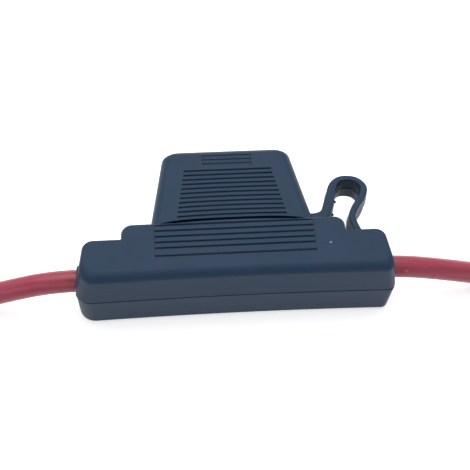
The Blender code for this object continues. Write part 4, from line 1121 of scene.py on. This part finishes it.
def housing_plastic():
    """Satin slate plastic: slow mottling, faint flow lines along X and a fine moulded grain."""
    made, tree, shader = new_finish("slate_plastic", 0.5)
    shader.inputs["Specular IOR Level"].default_value = 0.14
    shader.inputs["Specular Tint"].default_value = (0.6, 0.82, 1.0, 1.0)
    shader.inputs["Coat Weight"].default_value = 0.2
    shader.inputs["Coat IOR"].default_value = 1.3
    shader.inputs["Coat Roughness"].default_value = 0.3
    cloudy = noise(tree, position(tree), SLATE_CLOUDS)
    flow = noise(tree, position(tree, FLOW_STRETCH), SLATE_FLOW, FLOW_DETAIL)
    grain = noise(tree, position(tree), SLATE_GRAIN, GRAIN_DETAIL)
    colour = tones(tree, cloudy, SLATE_TONES)
    colour = fleck(tree, colour, SPECK_PLACE, SPECK_REACH, SPECK_TINT)
    tree.links.new(colour, shader.inputs["Base Color"])
    tree.links.new(remap(tree, flow, *SLATE_ROUGHNESS), shader.inputs["Roughness"])
    relief(tree, shader, [(flow, *SLATE_FLOW_RELIEF), (grain, *SLATE_GRAIN_RELIEF)])
    return made


def lead_insulation():
    """Soft red cable insulation with long drawn streaks and a slightly waxy sheen."""
    made, tree, shader = new_finish("red_insulation", 0.35)
    shader.inputs["Specular IOR Level"].default_value = 0.35
    shader.inputs["Coat Weight"].default_value = 0.15
    shader.inputs["Coat IOR"].default_value = 1.45
    shader.inputs["Coat Roughness"].default_value = 0.16
    shader.inputs["Subsurface Weight"].default_value = 1.0
    shader.inputs["Subsurface Radius"].default_value = (1.0, 0.2, 0.3)
    shader.inputs["Subsurface Scale"].default_value = RED_DEPTH
    unrolled = tree.nodes.new("ShaderNodeUVMap")
    unrolled.uv_map = "unrolled"
    mapping = tree.nodes.new("ShaderNodeMapping")
    mapping.inputs["Scale"].default_value = STREAK_STRETCH
    tree.links.new(unrolled.outputs["UV"], mapping.inputs["Vector"])
    streaks = noise(tree, mapping.outputs["Vector"], 1.0)
    patches = noise(tree, position(tree), LEAD_PATCHES)
    grain = noise(tree, position(tree), LEAD_GRAIN, GRAIN_DETAIL)
    streaked = tones(tree, streaks, RED_TONES)
    streaked = fleck(tree, streaked, SCUFF_PLACE, SCUFF_REACH, SCUFF_TINT)
    streaked = fleck(tree, streaked, SCRAPE_PLACE, SCRAPE_REACH, SCRAPE_TINT)
    tree.links.new(streaked, shader.inputs["Base Color"])
    tree.links.new(remap(tree, patches, *RED_ROUGHNESS), shader.inputs["Roughness"])
    relief(tree, shader, [(streaks, *LEAD_STREAK_RELIEF), (grain, *LEAD_GRAIN_RELIEF)])
    return made


def rubber():
    """Matt black rubber with a dusty bloom."""
    made, tree, shader = new_finish("black_rubber", 0.75)
    bloom = noise(tree, position(tree), RUBBER_BLOOM)
    grain = noise(tree, position(tree), RUBBER_GRAIN, GRAIN_DETAIL)
    colour = tones(tree, bloom, RUBBER_TONES)
    tree.links.new(colour, shader.inputs["Base Color"])
    tree.links.new(remap(tree, bloom, *RUBBER_ROUGHNESS), shader.inputs["Roughness"])
    relief(tree, shader, [(grain, *RUBBER_RELIEF)])
    return made


def drawn_metal(name, shades, roughness, stretch):
    """Rolled or drawn metal with fine lines along it and a little tarnish."""
    made, tree, shader = new_finish(name, roughness[0], 1.0)
    tarnish = noise(tree, position(tree), METAL_TARNISH)
    lines = noise(tree, position(tree, stretch), METAL_LINES)
    tree.links.new(tones(tree, tarnish, shades), shader.inputs["Base Color"])
    tree.links.new(remap(tree, lines, *roughness), shader.inputs["Roughness"])
    relief(tree, shader, [(lines, *METAL_RELIEF)])
    return made


def clear_plastic():
    """Clear tinted plastic of the fuse's body, with faint flow marks."""
    made, tree, shader = new_finish("tinted_clear", 0.12)
    shader.inputs["Transmission Weight"].default_value = 0.85
    shader.inputs["IOR"].default_value = 1.49
    flow = noise(tree, position(tree), CLEAR_FLOW)
    grain = noise(tree, position(tree), CLEAR_GRAIN, GRAIN_DETAIL)
    colour = tones(tree, flow, CLEAR_TONES)
    tree.links.new(colour, shader.inputs["Base Color"])
    tree.links.new(remap(tree, flow, *CLEAR_ROUGHNESS), shader.inputs["Roughness"])
    relief(tree, shader, [(grain, *CLEAR_RELIEF)])
    return made


def dress(finish, *nodes):
    """Gives a finish to solids that stay as they are."""
    for name in nodes:
        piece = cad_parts[name]
        piece.data.materials.clear()
        piece.data.materials.append(finish)


# Camera, floor and light


def make_camera():
    """The camera that took the photo, as fitted."""
    data = bpy.data.cameras.new("photo_camera")
    data.sensor_width = SENSOR_WIDTH
    data.lens = FOCAL_PIXELS * SENSOR_WIDTH / FRAME_PIXELS
    data.clip_start = CLIP_NEAR
    data.clip_end = CLIP_FAR
    camera = add_object("photo_camera", data)
    turn = Matrix((CAMERA_RIGHT, CAMERA_UP, CAMERA_RIGHT.cross(CAMERA_UP))).transposed()
    place = Vector((CAMERA_ACROSS, BASE_Y - CAMERA_BELOW_BASE, 2 * HALF_THICKNESS + CAMERA_OVER_FACE))
    camera.matrix_world = Matrix.Translation(place) @ turn.to_4x4()
    bpy.context.scene.camera = camera


def greatest(tree, values):
    """The greatest of some values."""
    result, *others = values
    for other in others:
        either = tree.nodes.new("ShaderNodeMath")
        either.operation = "MAXIMUM"
        tree.links.new(result, either.inputs[0])
        tree.links.new(other, either.inputs[1])
        result = either.outputs["Value"]
    return result


def seen_directly(tree):
    """One for rays from the camera, from gloss and through clear pieces, else zero."""
    rays = tree.nodes.new("ShaderNodeLightPath").outputs
    return greatest(tree, [rays["Is Camera Ray"], rays["Is Glossy Ray"], rays["Is Transmission Ray"]])


def make_floor():
    """A plain white floor that keeps a soft shadow and meets the white of the backdrop."""
    finish = bpy.data.materials.new("floor_white")
    finish.use_nodes = True
    tree = finish.node_tree
    shader = tree.nodes["Principled BSDF"]
    shader.inputs["Base Color"].default_value = (FLOOR_WHITE, FLOOR_WHITE, FLOOR_WHITE, 1)
    shader.inputs["Roughness"].default_value = 0.9
    shader.inputs["Specular IOR Level"].default_value = 0.1
    shader.inputs["Emission Color"].default_value = (1, 1, 1, 1)
    glow = tree.nodes.new("ShaderNodeMath")
    glow.operation = "MULTIPLY"
    glow.inputs[1].default_value = FLOOR_GLOW
    tree.links.new(seen_directly(tree), glow.inputs[0])
    tree.links.new(glow.outputs["Value"], shader.inputs["Emission Strength"])
    corners = [(FLOOR_REACH * x, FLOOR_REACH * y, 0) for x, y in ((-1, -1), (1, -1), (1, 1), (-1, 1))]
    mesh = bpy.data.meshes.new("floor")
    mesh.from_pydata(corners, [], [(0, 1, 2, 3)])
    mesh.materials.append(finish)
    floor = add_object("floor", mesh)


def make_light():
    """One large softbox overhead, beyond the cap, aimed at the origin."""
    lamp = bpy.data.lights.new("softbox", "AREA")
    lamp.shape = "SQUARE"
    lamp.size = SOFTBOX_SIZE
    lamp.energy = SOFTBOX_POWER
    softbox = add_object("softbox", lamp)
    softbox.location = SOFTBOX_PLACE
    softbox.rotation_euler = (-SOFTBOX_PLACE).to_track_quat("-Z", "Y").to_euler()


def make_world():
    """An even room, bright low down and at its sides, dim by the camera, white when seen directly."""
    world = bpy.data.worlds.new("studio")
    world.use_nodes = True
    tree = world.node_tree
    background = tree.nodes["Background"]
    background.inputs["Color"].default_value = (1, 1, 1, 1)
    place = tree.nodes.new("ShaderNodeTexCoord")
    parts = tree.nodes.new("ShaderNodeSeparateXYZ")
    tree.links.new(place.outputs["Generated"], parts.inputs["Vector"])
    facing = tree.nodes.new("ShaderNodeVectorMath")
    facing.operation = "DOT_PRODUCT"
    facing.inputs[1].default_value = ROOM_DIM_WAY
    tree.links.new(place.outputs["Generated"], facing.inputs[0])
    room = remap(tree, facing.outputs["Value"], ROOM_LEVEL, ROOM_DIM_LEVEL, *ROOM_DIM_BETWEEN)
    horizon = remap(tree, parts.outputs["Z"], 1.0, 0.0, *HORIZON_BETWEEN)
    aside = tree.nodes.new("ShaderNodeMath")
    aside.operation = "ABSOLUTE"
    tree.links.new(parts.outputs["X"], aside.inputs[0])
    sides = remap(tree, aside.outputs["Value"], 0.0, 1.0, *SIDES_BETWEEN)
    level = greatest(tree, [seen_directly(tree), room, horizon, sides])
    tree.links.new(level, background.inputs["Strength"])
    bpy.context.scene.world = world


make_camera()
plastic = housing_plastic()
insulation = lead_insulation()
black = rubber()
tinned = drawn_metal("tinned_sheet", TINNED_TONES, SOFT_METAL_ROUGHNESS, LINES_ALONG_Z)
steel = drawn_metal("steel_strip", STEEL_TONES, STEEL_ROUGHNESS, LINES_ALONG_X)
zinc = drawn_metal("zinc_sheet", ZINC_TONES, ZINC_ROUGHNESS, LINES_ALONG_Y)
copper = drawn_metal("drawn_copper", COPPER_TONES, SOFT_METAL_ROUGHNESS, LINES_ALONG_X)

make_lead("left", -1, LEFT_ROUTE, insulation, copper)
make_lead("right", 1, RIGHT_ROUTE, insulation, copper)
half_moulding("front_moulding", "front_shell", 1, plastic)
half_moulding("rear_moulding", "rear_shell", -1, plastic)
cap_moulding(plastic)
tether_strap(plastic)

dress(black, "cap_seal", "grommet_left", "grommet_right")
dress(clear_plastic(), "fuse_body")
dress(zinc, "fuse_element")
dress(tinned, "terminal_left", "terminal_right")
dress(steel, "contact_spring_left", "contact_spring_right")
dress(copper, "crimped_strands_left", "crimped_strands_right")

make_floor()
make_light()
make_world()
bpy.context.scene.view_settings.view_transform = "Standard"
